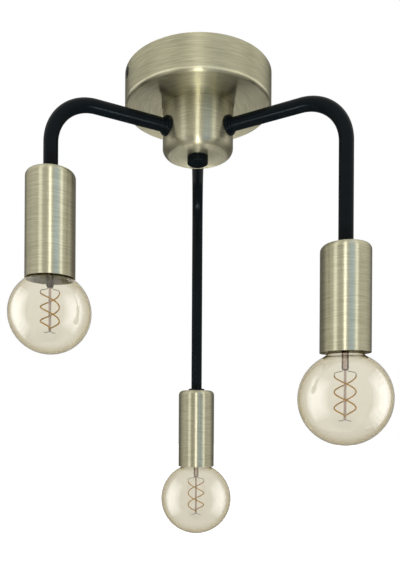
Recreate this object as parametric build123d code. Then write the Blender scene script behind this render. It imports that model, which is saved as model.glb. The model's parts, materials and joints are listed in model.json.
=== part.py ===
from build123d import *

import math
import os
from collections import namedtuple

# Semi flush ceiling light: a canopy and hub carry three bent arms of different drop, each with a sleeve over
# its lampholder and a globe bulb. Sizes are millimetres. The ceiling is the plane z = 0, the light hangs
# down from it, the canopy's axis is the z axis and the rear arm points along +Y.

# ---------------------------------------------------------------- canopy and ceiling bracket
CANOPY_R = 80.0
CANOPY_DEPTH = 36.5
CANOPY_WALL = 1.0
CANOPY_EDGE_R = 3.0
STRAP_TURN = 20.0  # degrees from +X to the strap and its two side screws
STRAP_LENGTH = 147.0
STRAP_WIDTH = 24.0
STRAP_THICK = 2.0
STRAP_BEND_R = 3.0  # outside of each bend
EAR_DROP = 17.0
EAR_CORNER_R = 4.0
CEILING_HOLE_SPACING = 70.0
CEILING_HOLE_R = 2.75
SIDE_SCREW_DEPTH = 8.7  # below the ceiling
SIDE_SCREW_HEAD_R = 6.0
SIDE_SCREW_HEAD_HEIGHT = 2.5
SIDE_SCREW_R = 2.5
SIDE_SCREW_LENGTH = 14.0
CROSS_SLOT_LENGTH = 8.0
CROSS_SLOT_WIDTH = 1.4
CROSS_SLOT_DEPTH = 1.2
SIDE_HOLE_R = 6.3

# ---------------------------------------------------------------- hub and the rod through it
HUB_R = 38.6
HUB_DEPTH = 49.5
HUB_WALL = 1.5
HUB_EDGE_R = 8.0
ROD_R = 4.0
ROD_TOP = -22.0
ROD_NUT_FLATS = 13.0
ROD_NUT_HEIGHT = 6.5
FINIAL_R = 11.4
FINIAL_HEIGHT = 8.0
FINIAL_THREAD_DEPTH = 5.2
FINIAL_EDGE_R = 1.2

# ---------------------------------------------------------------- arms
ARM_AXIS_Z = -61.0
ARM_REACH = 164.5
ARM_BEND_R = 46.0
TUBE_R = 7.15
TUBE_BORE_R = 6.15
TUBE_PLUG_LENGTH = 28.0
COPE_DEPTH = 3.0  # blank length inside the hub's surface, cut back to its curve
HUB_COLLAR_R = 10.5
HUB_COLLAR_BOSS_R = 8.6
HUB_COLLAR_FLANGE = 2.4
HUB_COLLAR_BOSS = 2.2
SLEEVE_COLLAR_R = 10.8
SLEEVE_COLLAR_THICK = 2.5
NIPPLE_R = 5.0
NIPPLE_BORE_R = 3.7
NIPPLE_NUT_FLATS = 14.0
NIPPLE_NUT_HEIGHT = 3.0
NIPPLE_LENGTH = 38.0
HUB_NIPPLE_START = 27.0
LAMP_NIPPLE_TOP = 10.0  # above the sleeve's top

# ---------------------------------------------------------------- sleeves and lampholders
SLEEVE_R = 24.25
SLEEVE_LENGTH = 103.5
SLEEVE_WALL = 1.0
SLEEVE_EDGE_R = 6.5
HOLDER_RECESS = 20.0  # lampholder's mouth above the sleeve's rim
HOLDER_R = 19.5
HOLDER_BORE_R = 16.0
HOLDER_BODY_HEIGHT = 44.0
HOLDER_CAP_HEIGHT = 17.5
INSERT_R = 17.5
INSERT_LOW = 29.0
INSERT_HIGH = 41.0
SHELL_R = 13.85
SHELL_BORE_R = 13.45
SHELL_LOW = 7.0
SHELL_TURN_IN = 2.5
HOLDER_NECK_R = 9.0
HOLDER_NECK_BORE_R = 7.5
HOLDER_NECK_THREAD = 7.5
HOLDER_SHOULDER = 8.0  # straight side of the cap above the body
HOLDER_CAVITY_R = 15.5
HOLDER_CAVITY = 6.5
INSERT_WIRE_HOLE_R = 2.2
INSERT_WIRE_HOLE_SPACING = 18.0
TONGUE_THICK = 0.5
TONGUE_WIDTH = 6.0

# ---------------------------------------------------------------- bulbs
GLASS_WALL = 1.0
NECK_R = 16.0
THROAT_R = 13.2
NECK_CURVE_R = 8.0
CAP_RECESS = 2.0  # cap's rim above the lampholder's mouth
CAP_THREAD_R = 13.1
CAP_RIM_R = 13.9
CAP_WALL = 0.4
CAP_RIM_HEIGHT = 3.5
CAP_END_R = 11.5
CAP_HEIGHT = 22.0
INSULATOR_R = 11.0
INSULATOR_DEPTH = 2.5  # sunk into the cap
CONTACT_TOP = 25.0
CONTACT_THICK = 0.8
CONTACT_R = 4.6
STEM_R = 3.4
STEM_ROD_R = 1.3
STEM_END = 0.61  # stem, rod and filament heights are shares of the globe's radius, from its centre
ROD_END = -0.44
FILAMENT_SPIRAL_R = 0.225
FILAMENT_TOP = 0.49
FILAMENT_HALF_TURN = 0.345
FILAMENT_TURNS = 1.25
FILAMENT_WIRE_R = 0.6
FILAMENT_CLOSING = 0.2  # share of a strand that closes in on the rod
FILAMENT_ROD_GAP = 0.8
LEAD_IN_WIRE_R = 0.35
LEAD_IN_SPACING = 4.4
LEAD_IN_BEND_R = 2.2
HOOK_SPAN = 0.13
HOOK_DROP = 1.2

# ---------------------------------------------------------------- wiring
BUSH_Y = -26.0
BUSH_BORE_R = 7.0
BUSH_R = 8.5
BUSH_FLANGE_R = 10.0
BUSH_LATCH_R = 9.5
BUSH_LIP = 1.4
LEAD_R = 2.0
LEAD_SPACING = 4.4
LEAD_BEND_R = 6.0
LEAD_LAYER = 11.0  # leads cross the hub this far above or below the arms' axes
LEAD_PAST_ROD = (9.0, 5.0)
EARTH_LEAD_R = 1.2
BLOCK_LENGTH = 38.0
BLOCK_WIDTH = 18.0
BLOCK_HEIGHT = 14.0
BLOCK_ALONG = -3.4  # block's centre along and across the strap
BLOCK_ACROSS = -4.0
POLE_SPACING = 9.0
POLE_Z = -9.0
POLE_HOLE_R = 2.1
POLE_HOLE_DEPTH = 6.0
SCREW_WELL_R = 2.4
SCREW_WELL_DEPTH = 3.0
BLOCK_WAIST_WIDTH = 1.6
BLOCK_WAIST_DEPTH = 3.0
WIRE_RUN_IN = 5.0  # straight length of wire in front of the block
EARTH_STUD = (38.0, -24.0)
STUD_R = 2.0
STUD_HEIGHT = 10.0
STUD_FLANGE_R = 4.0
STUD_FLANGE = 0.8
STUD_NUT_FLATS = 7.0
STUD_NUT_HEIGHT = 3.2
EARTH_TAG_R = 4.6
EARTH_TAG = 1.0
EARTH_LEAD_BOW = 14.0

# azimuth of the arm and turn of the screwed-in bulb in degrees from +X, height of the sleeve's top,
# globe radius, globe's centre below the sleeve's rim
Lamp = namedtuple("Lamp", "azimuth bulb_turn sleeve_top globe_r globe_drop")
LAMPS = {
    "left": Lamp(210.0, 14.0, -135.8, 40.0, 33.5),
    "right": Lamp(330.0, -14.0, -207.0, 45.0, 44.0),
    "rear": Lamp(90.0, 0.0, -335.5, 47.5, 44.0),
}

HUB_TOP = -CANOPY_DEPTH
HUB_BOTTOM = HUB_TOP - HUB_DEPTH
CANOPY_FLOOR = HUB_TOP + CANOPY_WALL
HOLDER_MOUTH = HOLDER_RECESS - SLEEVE_LENGTH  # from the sleeve's top
CAP_RIM = HOLDER_MOUTH + CAP_RECESS


# ---------------------------------------------------------------- shared shapes
def turned(*corners):
    """Solid turned about the z axis. Its outline's corners are (radius, height) or (radius, height, rounding)."""
    points = [corner[:2] for corner in corners]
    roundings = [corner[2] if len(corner) == 3 else 0 for corner in corners]
    outline = FilletPolyline(*points, radius=roundings, close=True)
    return revolve(Plane.XZ * make_face(outline), Axis.Z)


def ring(outer_r, inner_r, low, high):
    """Plain ring about the z axis."""
    return turned((inner_r, low), (outer_r, low), (outer_r, high), (inner_r, high))


def rod(radius, low, high):
    """Plain round bar along the z axis."""
    return Pos(0, 0, low) * Cylinder(radius, high - low, align=(Align.CENTER, Align.CENTER, Align.MIN))


def hex_nut(across_flats, bore_r, low, high):
    """Six-sided nut about the z axis."""
    section = RegularPolygon(across_flats / 2, 6, major_radius=False) - Circle(bore_r)
    return Pos(0, 0, low) * extrude(section, high - low)


def swept_round(path, radius):
    """Round bar along a path."""
    return sweep(Plane(origin=path @ 0, z_dir=path % 0) * Circle(radius), path=path)


def along_arm(piece):
    """Turns a piece made about the z axis to lie along +X at the height of the arms."""
    return Pos(0, 0, ARM_AXIS_Z) * Rot(0, 90, 0) * piece


def at_azimuth(azimuth, piece):
    return Rot(0, 0, azimuth) * piece


def at_lamp(lamp, piece):
    """Places a piece made about the z axis, with the sleeve's top at z = 0, at its lamp."""
    return Rot(0, 0, lamp.azimuth) * Pos(ARM_REACH, 0, lamp.sleeve_top) * piece


def for_each_lamp(make):
    """One solid for each lamp, kept apart in one group."""
    return Compound(children=[make(lamp) for lamp in LAMPS.values()])


# ---------------------------------------------------------------- ceiling bracket and canopy
def ceiling_bracket():
    """Flat strap with an ear turned down at each end. Its top lies on the ceiling."""
    half = STRAP_LENGTH / 2
    inside = half - STRAP_THICK
    inner_bend = STRAP_BEND_R - STRAP_THICK
    side = FilletPolyline(
        (-half, 0), (half, 0), (half, -EAR_DROP), (inside, -EAR_DROP),
        (inside, -STRAP_THICK), (-inside, -STRAP_THICK), (-inside, -EAR_DROP), (-half, -EAR_DROP),
        radius=[STRAP_BEND_R, STRAP_BEND_R, 0, 0, inner_bend, inner_bend, 0, 0],
        close=True,
    )
    strap = extrude(Plane.XZ * make_face(side), STRAP_WIDTH / 2, both=True)
    for end in (-1, 1):
        strap -= Pos(end * CEILING_HOLE_SPACING / 2, 0, 0) * rod(CEILING_HOLE_R, -STRAP_THICK, 0)
        ear_hole = rod(SIDE_SCREW_R, inside, half)
        strap -= Pos(0, 0, -SIDE_SCREW_DEPTH) * Rot(0, end * 90, 0) * ear_hole
    ear_corners = strap.edges().filter_by(Axis.X).group_by(Axis.Z)[0]
    return Rot(0, 0, STRAP_TURN) * fillet(ear_corners, EAR_CORNER_R)


def canopy():
    """Cup against the ceiling. Its floor has the rod's hole and the wire hole, its side two screw holes."""
    cup = turned(
        (ROD_R, HUB_TOP),
        (CANOPY_R, HUB_TOP, CANOPY_EDGE_R),
        (CANOPY_R, 0),
        (CANOPY_R - CANOPY_WALL, 0),
        (CANOPY_R - CANOPY_WALL, CANOPY_FLOOR, CANOPY_EDGE_R - CANOPY_WALL),
        (ROD_R, CANOPY_FLOOR),
    )
    cup -= Pos(0, BUSH_Y, 0) * rod(BUSH_R, HUB_TOP, CANOPY_FLOOR)
    side_holes = rod(SIDE_HOLE_R, -CANOPY_R, CANOPY_R)
    return cup - Pos(0, 0, -SIDE_SCREW_DEPTH) * Rot(0, 0, STRAP_TURN) * Rot(0, 90, 0) * side_holes


def canopy_screws():
    """Two screws: flat heads flush in the canopy's side holes, shanks through the bracket's ears."""
    face = math.sqrt(CANOPY_R**2 - SIDE_SCREW_HEAD_R**2)
    head_low = face - SIDE_SCREW_HEAD_HEIGHT
    screw = turned(
        (0, face - SIDE_SCREW_LENGTH),
        (SIDE_SCREW_R, face - SIDE_SCREW_LENGTH),
        (SIDE_SCREW_R, head_low),
        (SIDE_SCREW_HEAD_R, head_low),
        (SIDE_SCREW_HEAD_R, face, 0.4),
        (0, face),
    )
    slot = Box(CROSS_SLOT_LENGTH, CROSS_SLOT_WIDTH, 2 * CROSS_SLOT_DEPTH)
    screw -= Pos(0, 0, face) * (slot + Rot(0, 0, 90) * slot)
    turns = [STRAP_TURN, STRAP_TURN + 180]
    return Compound(
        children=[Pos(0, 0, -SIDE_SCREW_DEPTH) * Rot(0, 0, turn) * Rot(0, 90, 0) * screw for turn in turns]
    )


# ---------------------------------------------------------------- hub, tie rod and finial
def hub():
    """Cup under the canopy, with the rod's hole in its floor and a nipple hole for each arm."""
    floor = HUB_BOTTOM + HUB_WALL
    cup = turned(
        (ROD_R, HUB_BOTTOM),
        (HUB_R, HUB_BOTTOM, HUB_EDGE_R),
        (HUB_R, HUB_TOP),
        (HUB_R - HUB_WALL, HUB_TOP),
        (HUB_R - HUB_WALL, floor, HUB_EDGE_R - HUB_WALL),
        (ROD_R, floor),
    )
    for lamp in LAMPS.values():
        cup -= at_azimuth(lamp.azimuth, along_arm(rod(NIPPLE_R, HUB_NIPPLE_START, HUB_R)))
    return cup


def tie_rod():
    return rod(ROD_R, HUB_BOTTOM - FINIAL_THREAD_DEPTH, ROD_TOP)


def tie_rod_nuts():
    """One nut above the canopy's floor and one below it."""
    upper = hex_nut(ROD_NUT_FLATS, ROD_R, CANOPY_FLOOR, CANOPY_FLOOR + ROD_NUT_HEIGHT)
    lower = hex_nut(ROD_NUT_FLATS, ROD_R, HUB_TOP - ROD_NUT_HEIGHT, HUB_TOP)
    return Compound(children=[upper, lower])


def finial_nut():
    """Closed nut that draws the hub up against the canopy."""
    low = HUB_BOTTOM - FINIAL_HEIGHT
    blind_end = HUB_BOTTOM - FINIAL_THREAD_DEPTH
    return turned(
        (0, low),
        (FINIAL_R, low, FINIAL_EDGE_R),
        (FINIAL_R, HUB_BOTTOM, FINIAL_EDGE_R / 3),
        (ROD_R, HUB_BOTTOM),
        (ROD_R, blind_end),
        (0, blind_end),
    )


# ---------------------------------------------------------------- wiring in canopy and hub
def cable_bush():
    """Snap-in bush that lines the wire hole in the canopy's floor."""
    edge_r = BUSH_LIP / 3
    bush = turned(
        (BUSH_BORE_R, HUB_TOP - BUSH_LIP, edge_r),
        (BUSH_LATCH_R, HUB_TOP - BUSH_LIP, edge_r),
        (BUSH_LATCH_R, HUB_TOP),
        (BUSH_R, HUB_TOP),
        (BUSH_R, CANOPY_FLOOR),
        (BUSH_FLANGE_R, CANOPY_FLOOR),
        (BUSH_FLANGE_R, CANOPY_FLOOR + BUSH_LIP, edge_r),
        (BUSH_BORE_R, CANOPY_FLOOR + BUSH_LIP, edge_r),
    )
    return Pos(0, BUSH_Y, 0) * bush


def pole_along(index):
    """Place of a terminal along the strap."""
    return BLOCK_ALONG + (index - 1.5) * POLE_SPACING


def by_strap(along, across, z):
    """Point given along and across the turned strap."""
    turn = math.radians(STRAP_TURN)
    x = along * math.cos(turn) - across * math.sin(turn)
    y = along * math.sin(turn) + across * math.cos(turn)
    return Vector(x, y, z)


def terminal_block():
    """Four-way block under the strap, waisted between its poles, with wire holes and screw wells."""
    middle = -STRAP_THICK - BLOCK_HEIGHT / 2
    block = Pos(BLOCK_ALONG, BLOCK_ACROSS, middle) * Box(BLOCK_LENGTH, BLOCK_WIDTH, BLOCK_HEIGHT)
    for gap in range(3):
        between = (pole_along(gap) + pole_along(gap + 1)) / 2
        for side in (-1, 1):
            waist = Pos(between, BLOCK_ACROSS + side * BLOCK_WIDTH / 2, middle)
            block -= waist * Box(BLOCK_WAIST_WIDTH, 2 * BLOCK_WAIST_DEPTH, BLOCK_HEIGHT)
    for index in range(4):
        for side in (-1, 1):
            face = Pos(pole_along(index), BLOCK_ACROSS + side * BLOCK_WIDTH / 2, POLE_Z)
            block -= face * Rot(side * 90, 0, 0) * rod(POLE_HOLE_R, 0, POLE_HOLE_DEPTH)
            well = Pos(pole_along(index), BLOCK_ACROSS + side * BLOCK_WIDTH / 4, -STRAP_THICK - BLOCK_HEIGHT)
            block -= well * rod(SCREW_WELL_R, 0, SCREW_WELL_DEPTH)
    return Rot(0, 0, STRAP_TURN) * block


def into_pole(index):
    """Last two points of a wire: in front of the block's face, and inside the pole's hole."""
    face = BLOCK_ACROSS - BLOCK_WIDTH / 2
    depths = (-WIRE_RUN_IN, 0.8 * POLE_HOLE_DEPTH)
    return [by_strap(pole_along(index), face + depth, POLE_Z) for depth in depths]


def lamp_lead(lamp, index):
    """Flexible lead from the lampholder up through the arm, across the hub and up to its pole."""
    turn = math.radians(lamp.azimuth)
    out = Vector(math.cos(turn), math.sin(turn), 0)
    bush_x = (index - 1) * LEAD_SPACING
    lead_end = lamp.sleeve_top + LAMP_NIPPLE_TOP - NIPPLE_LENGTH
    points = [
        out * ARM_REACH + Vector(0, 0, lead_end),
        out * ARM_REACH + Vector(0, 0, ARM_AXIS_Z),
        out * (HUB_NIPPLE_START - 2 * LEAD_R) + Vector(0, 0, ARM_AXIS_Z),
    ]
    radii = [ARM_BEND_R, LEAD_BEND_R]
    if index == 1:  # the rear lead passes beside the rod and under the other two
        points.append(Vector(*LEAD_PAST_ROD, ARM_AXIS_Z - LEAD_LAYER + LEAD_R))
        points.append(Vector(bush_x, BUSH_Y, ARM_AXIS_Z - LEAD_LAYER))
        radii += [LEAD_BEND_R, LEAD_BEND_R]
    else:
        points.append(Vector(bush_x, BUSH_Y, ARM_AXIS_Z + LEAD_LAYER))
        radii.append(LEAD_BEND_R)
    points += [Vector(bush_x, BUSH_Y, POLE_Z), *into_pole(index)]
    radii += [2 * LEAD_R, 1.5 * LEAD_R]
    return swept_round(FilletPolyline(*points, radius=radii), LEAD_R)


def earth_stud():
    """Stud fixed to the canopy's floor, with its nut."""
    flange = CANOPY_FLOOR + STUD_FLANGE
    nut = flange + EARTH_TAG
    stud = turned(
        (0, CANOPY_FLOOR),
        (STUD_FLANGE_R, CANOPY_FLOOR),
        (STUD_FLANGE_R, flange),
        (STUD_R, flange),
        (STUD_R, CANOPY_FLOOR + STUD_HEIGHT),
        (0, CANOPY_FLOOR + STUD_HEIGHT),
    )
    stud += hex_nut(STUD_NUT_FLATS, STUD_R / 2, nut, nut + STUD_NUT_HEIGHT)
    return Pos(*EARTH_STUD) * stud


def earth_lead():
    """Wire from the fourth pole to a ring tag under the stud's nut."""
    tag_low = CANOPY_FLOOR + STUD_FLANGE
    wire_z = tag_low + EARTH_LEAD_R
    tag = Pos(*EARTH_STUD) * ring(EARTH_TAG_R, STUD_R, tag_low, tag_low + EARTH_TAG)
    stud_x, stud_y = EARTH_STUD
    points = [
        *reversed(into_pole(3)),
        Vector(stud_x - EARTH_LEAD_BOW, stud_y + 2, POLE_Z - 8),
        Vector(stud_x - EARTH_LEAD_BOW, stud_y, wire_z),
        Vector(stud_x - EARTH_TAG_R + 0.3, stud_y, wire_z),
    ]
    return tag + swept_round(FilletPolyline(*points, radius=[4, 4, 3]), EARTH_LEAD_R)


# ---------------------------------------------------------------- arms and what joins them
def arm(lamp):
    """Bent tube with a threaded plug in each end. Its inner end is cut to the hub's curve."""
    corner = (ARM_REACH, ARM_AXIS_Z)
    start = HUB_R - COPE_DEPTH
    outer = FilletPolyline((start, ARM_AXIS_Z), corner, (ARM_REACH, lamp.sleeve_top), radius=ARM_BEND_R)
    bore_start = (HUB_R + TUBE_PLUG_LENGTH, ARM_AXIS_Z)
    bore_end = (ARM_REACH, lamp.sleeve_top + TUBE_PLUG_LENGTH)
    bore = FilletPolyline(bore_start, corner, bore_end, radius=ARM_BEND_R)
    tube = swept_round(Plane.XZ * outer, TUBE_R) - swept_round(Plane.XZ * bore, TUBE_BORE_R)
    tube -= along_arm(rod(NIPPLE_R, start, bore_start[0]))
    tube -= Pos(ARM_REACH, 0, 0) * rod(NIPPLE_R, lamp.sleeve_top, bore_end[1])
    tube -= rod(HUB_R, HUB_BOTTOM, HUB_TOP)
    return at_azimuth(lamp.azimuth, tube)


def hub_collar(lamp):
    """Stepped flange round the arm, its back cut to the hub's curve."""
    flange = HUB_R + HUB_COLLAR_FLANGE
    boss = flange + HUB_COLLAR_BOSS
    collar = turned(
        (TUBE_R, HUB_R - COPE_DEPTH),
        (HUB_COLLAR_R, HUB_R - COPE_DEPTH),
        (HUB_COLLAR_R, flange, 0.8),
        (HUB_COLLAR_BOSS_R, flange, 0.3),
        (HUB_COLLAR_BOSS_R, boss, 0.6),
        (TUBE_R, boss),
    )
    return at_azimuth(lamp.azimuth, along_arm(collar) - rod(HUB_R, HUB_BOTTOM, HUB_TOP))


def sleeve_collar(lamp):
    """Thin flange round the arm's lower end, on the sleeve's top."""
    collar = turned(
        (TUBE_R, 0),
        (SLEEVE_COLLAR_R, 0, 0.5),
        (SLEEVE_COLLAR_R, SLEEVE_COLLAR_THICK, 0.8),
        (TUBE_R, SLEEVE_COLLAR_THICK),
    )
    return at_lamp(lamp, collar)


def nipples():
    """Hollow threaded tubes in the arms' plugs: one from each arm into the hub, one into its lampholder."""
    hub_nipple = ring(NIPPLE_R, NIPPLE_BORE_R, HUB_NIPPLE_START, HUB_NIPPLE_START + NIPPLE_LENGTH)
    lamp_nipple = ring(NIPPLE_R, NIPPLE_BORE_R, LAMP_NIPPLE_TOP - NIPPLE_LENGTH, LAMP_NIPPLE_TOP)
    tubes = []
    for lamp in LAMPS.values():
        tubes.append(at_azimuth(lamp.azimuth, along_arm(hub_nipple)))
        tubes.append(at_lamp(lamp, lamp_nipple))
    return Compound(children=tubes)


def nipple_nuts():
    """Two nuts for each lamp: inside the hub's wall, and under the sleeve's top."""
    corner_r = NIPPLE_NUT_FLATS / math.sqrt(3)
    against_wall = math.sqrt((HUB_R - HUB_WALL) ** 2 - corner_r**2)
    hub_nut = hex_nut(NIPPLE_NUT_FLATS, NIPPLE_R, against_wall - NIPPLE_NUT_HEIGHT, against_wall)
    lamp_nut = hex_nut(NIPPLE_NUT_FLATS, NIPPLE_R, -SLEEVE_WALL - NIPPLE_NUT_HEIGHT, -SLEEVE_WALL)
    nuts = []
    for lamp in LAMPS.values():
        nuts.append(at_azimuth(lamp.azimuth, along_arm(hub_nut)))
        nuts.append(at_lamp(lamp, lamp_nut))
    return Compound(children=nuts)


# ---------------------------------------------------------------- sleeve and lampholder
def sleeve(lamp):
    """Tall cup, mouth down, with a rounded top and the nipple's hole."""
    cup = turned(
        (NIPPLE_R, 0),
        (SLEEVE_R, 0, SLEEVE_EDGE_R),
        (SLEEVE_R, -SLEEVE_LENGTH),
        (SLEEVE_R - SLEEVE_WALL, -SLEEVE_LENGTH),
        (SLEEVE_R - SLEEVE_WALL, -SLEEVE_WALL, SLEEVE_EDGE_R - SLEEVE_WALL),
        (NIPPLE_R, -SLEEVE_WALL),
    )
    return at_lamp(lamp, cup)


def at_holder(lamp, piece):
    """Places a piece made with the lampholder's mouth at z = 0."""
    return at_lamp(lamp, Pos(0, 0, HOLDER_MOUTH) * piece)


def holder_cap(lamp):
    """Domed cap with a threaded neck, its spigot inside the body."""
    joint = HOLDER_BODY_HEIGHT
    top = joint + HOLDER_CAP_HEIGHT
    cavity = joint + HOLDER_CAVITY
    thread_end = top - HOLDER_NECK_THREAD
    cap = turned(
        (HOLDER_R, joint),
        (HOLDER_R, joint + HOLDER_SHOULDER, 5),
        (HOLDER_NECK_R, top - 3, 2),
        (HOLDER_NECK_R, top, 0.6),
        (NIPPLE_R, top),
        (NIPPLE_R, thread_end),
        (HOLDER_NECK_BORE_R, thread_end),
        (HOLDER_NECK_BORE_R, thread_end + 2.5),
        (HOLDER_CAVITY_R, cavity, 4),
        (HOLDER_CAVITY_R, INSERT_HIGH),
        (INSERT_R, INSERT_HIGH),
        (INSERT_R, joint),
    )
    return at_holder(lamp, cap)


def holder_body(lamp):
    """Skirt round the screw shell, with a shoulder that the insert stands on."""
    body = turned(
        (HOLDER_BORE_R, 0, 0.8),
        (HOLDER_R, 0, 0.8),
        (HOLDER_R, HOLDER_BODY_HEIGHT),
        (INSERT_R, HOLDER_BODY_HEIGHT),
        (INSERT_R, INSERT_LOW),
        (HOLDER_BORE_R, INSERT_LOW),
    )
    return at_holder(lamp, body)


def holder_insert(lamp):
    """Insulating disc that carries the shell and the contact, with two holes for the wires."""
    insert = turned(
        (0, INSERT_LOW), (INSERT_R, INSERT_LOW), (INSERT_R, INSERT_HIGH, 0.8), (0, INSERT_HIGH)
    )
    for side in (-1, 1):
        beside = Pos(side * INSERT_WIRE_HOLE_SPACING / 2, 0, 0)
        insert -= beside * rod(INSERT_WIRE_HOLE_R, INSERT_LOW, INSERT_HIGH)
    return at_holder(lamp, insert)


def holder_shell(lamp):
    """Metal screw shell, held by its turned-in top edge."""
    wall = SHELL_R - SHELL_BORE_R
    shell = turned(
        (SHELL_BORE_R, SHELL_LOW),
        (SHELL_R, SHELL_LOW),
        (SHELL_R, INSERT_LOW, 0.8),
        (SHELL_R - SHELL_TURN_IN, INSERT_LOW),
        (SHELL_R - SHELL_TURN_IN, INSERT_LOW - wall),
        (SHELL_BORE_R, INSERT_LOW - wall, 0.4),
    )
    return at_holder(lamp, shell)


def holder_contact(lamp):
    """Springy tongue that reaches down to the bulb's contact."""
    press = CAP_RECESS + CONTACT_TOP + 0.3
    foot = INSERT_LOW - TONGUE_THICK
    side = Polyline(
        (-8, INSERT_LOW), (-8, foot), (-5.5, foot), (-1.5, press), (4, press),
        (4, press + TONGUE_THICK), (-1.3, press + TONGUE_THICK), (-5.2, INSERT_LOW),
        close=True,
    )
    return at_holder(lamp, extrude(Plane.XZ * make_face(side), TONGUE_WIDTH / 2, both=True))


# ---------------------------------------------------------------- bulb
def at_cap(lamp, piece):
    """Places a piece made with the rim of the bulb's cap at z = 0."""
    return at_lamp(lamp, Pos(0, 0, CAP_RIM) * piece)


def at_globe(lamp, piece):
    """Places a piece made with the globe's centre at z = 0, turned as the bulb is screwed in."""
    centre = Pos(0, 0, -SLEEVE_LENGTH - lamp.globe_drop)
    return at_lamp(lamp, centre * Rot(0, 0, lamp.bulb_turn - lamp.azimuth) * piece)


def cap_rim_height(lamp):
    """Height of the cap's rim over the globe's centre."""
    return CAP_RIM + SLEEVE_LENGTH + lamp.globe_drop


def glass_outline(lamp, inset):
    """Half outline of the glass: throat, neck, hollow curve, globe. inset moves it into the wall."""
    globe_r = lamp.globe_r - inset
    neck_r = NECK_R - inset
    throat_r = THROAT_R - inset
    curve_r = NECK_CURVE_R + inset
    curve_x = NECK_R + NECK_CURVE_R
    curve_z = math.sqrt((lamp.globe_r + NECK_CURVE_R) ** 2 - curve_x**2)
    curve_angle = math.degrees(math.atan2(curve_z, curve_x))
    rim = cap_rim_height(lamp)
    neck = FilletPolyline(
        (throat_r, rim + 2), (throat_r, rim - 3), (neck_r, rim - 10), (neck_r, curve_z), radius=6
    )
    hollow = CenterArc((curve_x, curve_z), curve_r, 180, curve_angle)
    globe = CenterArc((0, 0), globe_r, curve_angle, -curve_angle - 90)
    return neck, hollow, globe


def bulb_glass(lamp):
    """Blown globe of even wall with an open throat."""
    outer = glass_outline(lamp, 0)
    inner = glass_outline(lamp, GLASS_WALL)
    throat_edge = Line(outer[0] @ 0, inner[0] @ 0)
    lowest = Line(outer[2] @ 1, inner[2] @ 1)
    section = make_face(Curve() + [*outer, *inner, throat_edge, lowest])
    return at_globe(lamp, revolve(Plane.XZ * section, Axis.Z))


def bulb_cap(lamp):
    """Thin metal cap: wider rim, threaded length, shoulder."""
    shell = turned(
        (CAP_RIM_R - CAP_WALL, 0),
        (CAP_RIM_R, 0),
        (CAP_RIM_R, CAP_RIM_HEIGHT),
        (CAP_THREAD_R, CAP_RIM_HEIGHT + 1),
        (CAP_THREAD_R, CAP_HEIGHT - 1.5),
        (CAP_END_R, CAP_HEIGHT),
        (INSULATOR_R, CAP_HEIGHT),
        (INSULATOR_R, CAP_HEIGHT - 0.3),
        (CAP_THREAD_R - CAP_WALL, CAP_HEIGHT - 1.8),
        (CAP_THREAD_R - CAP_WALL, CAP_RIM_HEIGHT + 1.2),
        (CAP_RIM_R - CAP_WALL, CAP_RIM_HEIGHT + 0.2),
    )
    return at_cap(lamp, shell)


def bulb_insulator(lamp):
    """Glassy cone between cap and contact."""
    cone = turned(
        (0, CAP_HEIGHT - INSULATOR_DEPTH),
        (INSULATOR_R, CAP_HEIGHT - INSULATOR_DEPTH),
        (INSULATOR_R, CAP_HEIGHT),
        (CONTACT_R, CONTACT_TOP - CONTACT_THICK),
        (0, CONTACT_TOP - CONTACT_THICK),
    )
    return at_cap(lamp, cone)


def bulb_contact(lamp):
    low = CONTACT_TOP - CONTACT_THICK
    return at_cap(lamp, turned((0, low), (CONTACT_R, low), (CONTACT_R, CONTACT_TOP, 0.6), (0, CONTACT_TOP)))


def bulb_stem(lamp):
    """Glass stem: flare sealed in the throat, thick tube, then a thin rod down through the filament."""
    rim = cap_rim_height(lamp)
    stem_low = STEM_END * lamp.globe_r
    stem = turned(
        (0, ROD_END * lamp.globe_r),
        (STEM_ROD_R, ROD_END * lamp.globe_r, 0.5),
        (STEM_ROD_R, stem_low, 0.5),
        (STEM_R, stem_low, 1.2),
        (STEM_R, rim - 12, 8),
        (THROAT_R - GLASS_WALL, rim + 0.5, 1),
        (THROAT_R - GLASS_WALL, rim + 2),
        (0, rim + 2),
    )
    return at_globe(lamp, stem)


def filament_strand(lamp, start_turn):
    """Centreline of one filament strand, as a point for each share of its length from 0 to 1."""

    def point(share):
        globe_r = lamp.globe_r
        z = (FILAMENT_TOP - 2 * FILAMENT_HALF_TURN * FILAMENT_TURNS * share) * globe_r
        angle = 2 * math.pi * (start_turn + FILAMENT_TURNS * share)
        closing = max(0, 1 - (1 - share) / FILAMENT_CLOSING)
        end_r = STEM_ROD_R + FILAMENT_WIRE_R + FILAMENT_ROD_GAP
        radius = FILAMENT_SPIRAL_R * globe_r * (1 - closing**2) + end_r * closing**2
        return Vector(radius * math.cos(angle), radius * math.sin(angle), z)

    return point


def biarcs(point, spans):
    """Smooth wire of two arcs for each span of a curve, meeting with no kink."""
    nudge = 1e-4
    edges = []
    for span in range(spans):
        ends = []
        for share in (span / spans, (span + 1) / spans):
            tangent = (point(share + nudge) - point(share - nudge)).normalized()
            ends.append((point(share), tangent))
        (start, start_way), (end, end_way) = ends
        chord = end - start
        ways = start_way + end_way
        spare = 4 - ways.dot(ways)
        run = (math.sqrt(chord.dot(ways) ** 2 + chord.dot(chord) * spare) - chord.dot(ways)) / spare
        after_start = start + start_way * run
        before_end = end - end_way * run
        meeting = (after_start + before_end) * 0.5
        edges.append(Edge.make_tangent_arc(start, start_way, meeting))
        edges.append(Edge.make_tangent_arc(meeting, before_end - after_start, end))
    return Wire(edges)


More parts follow.
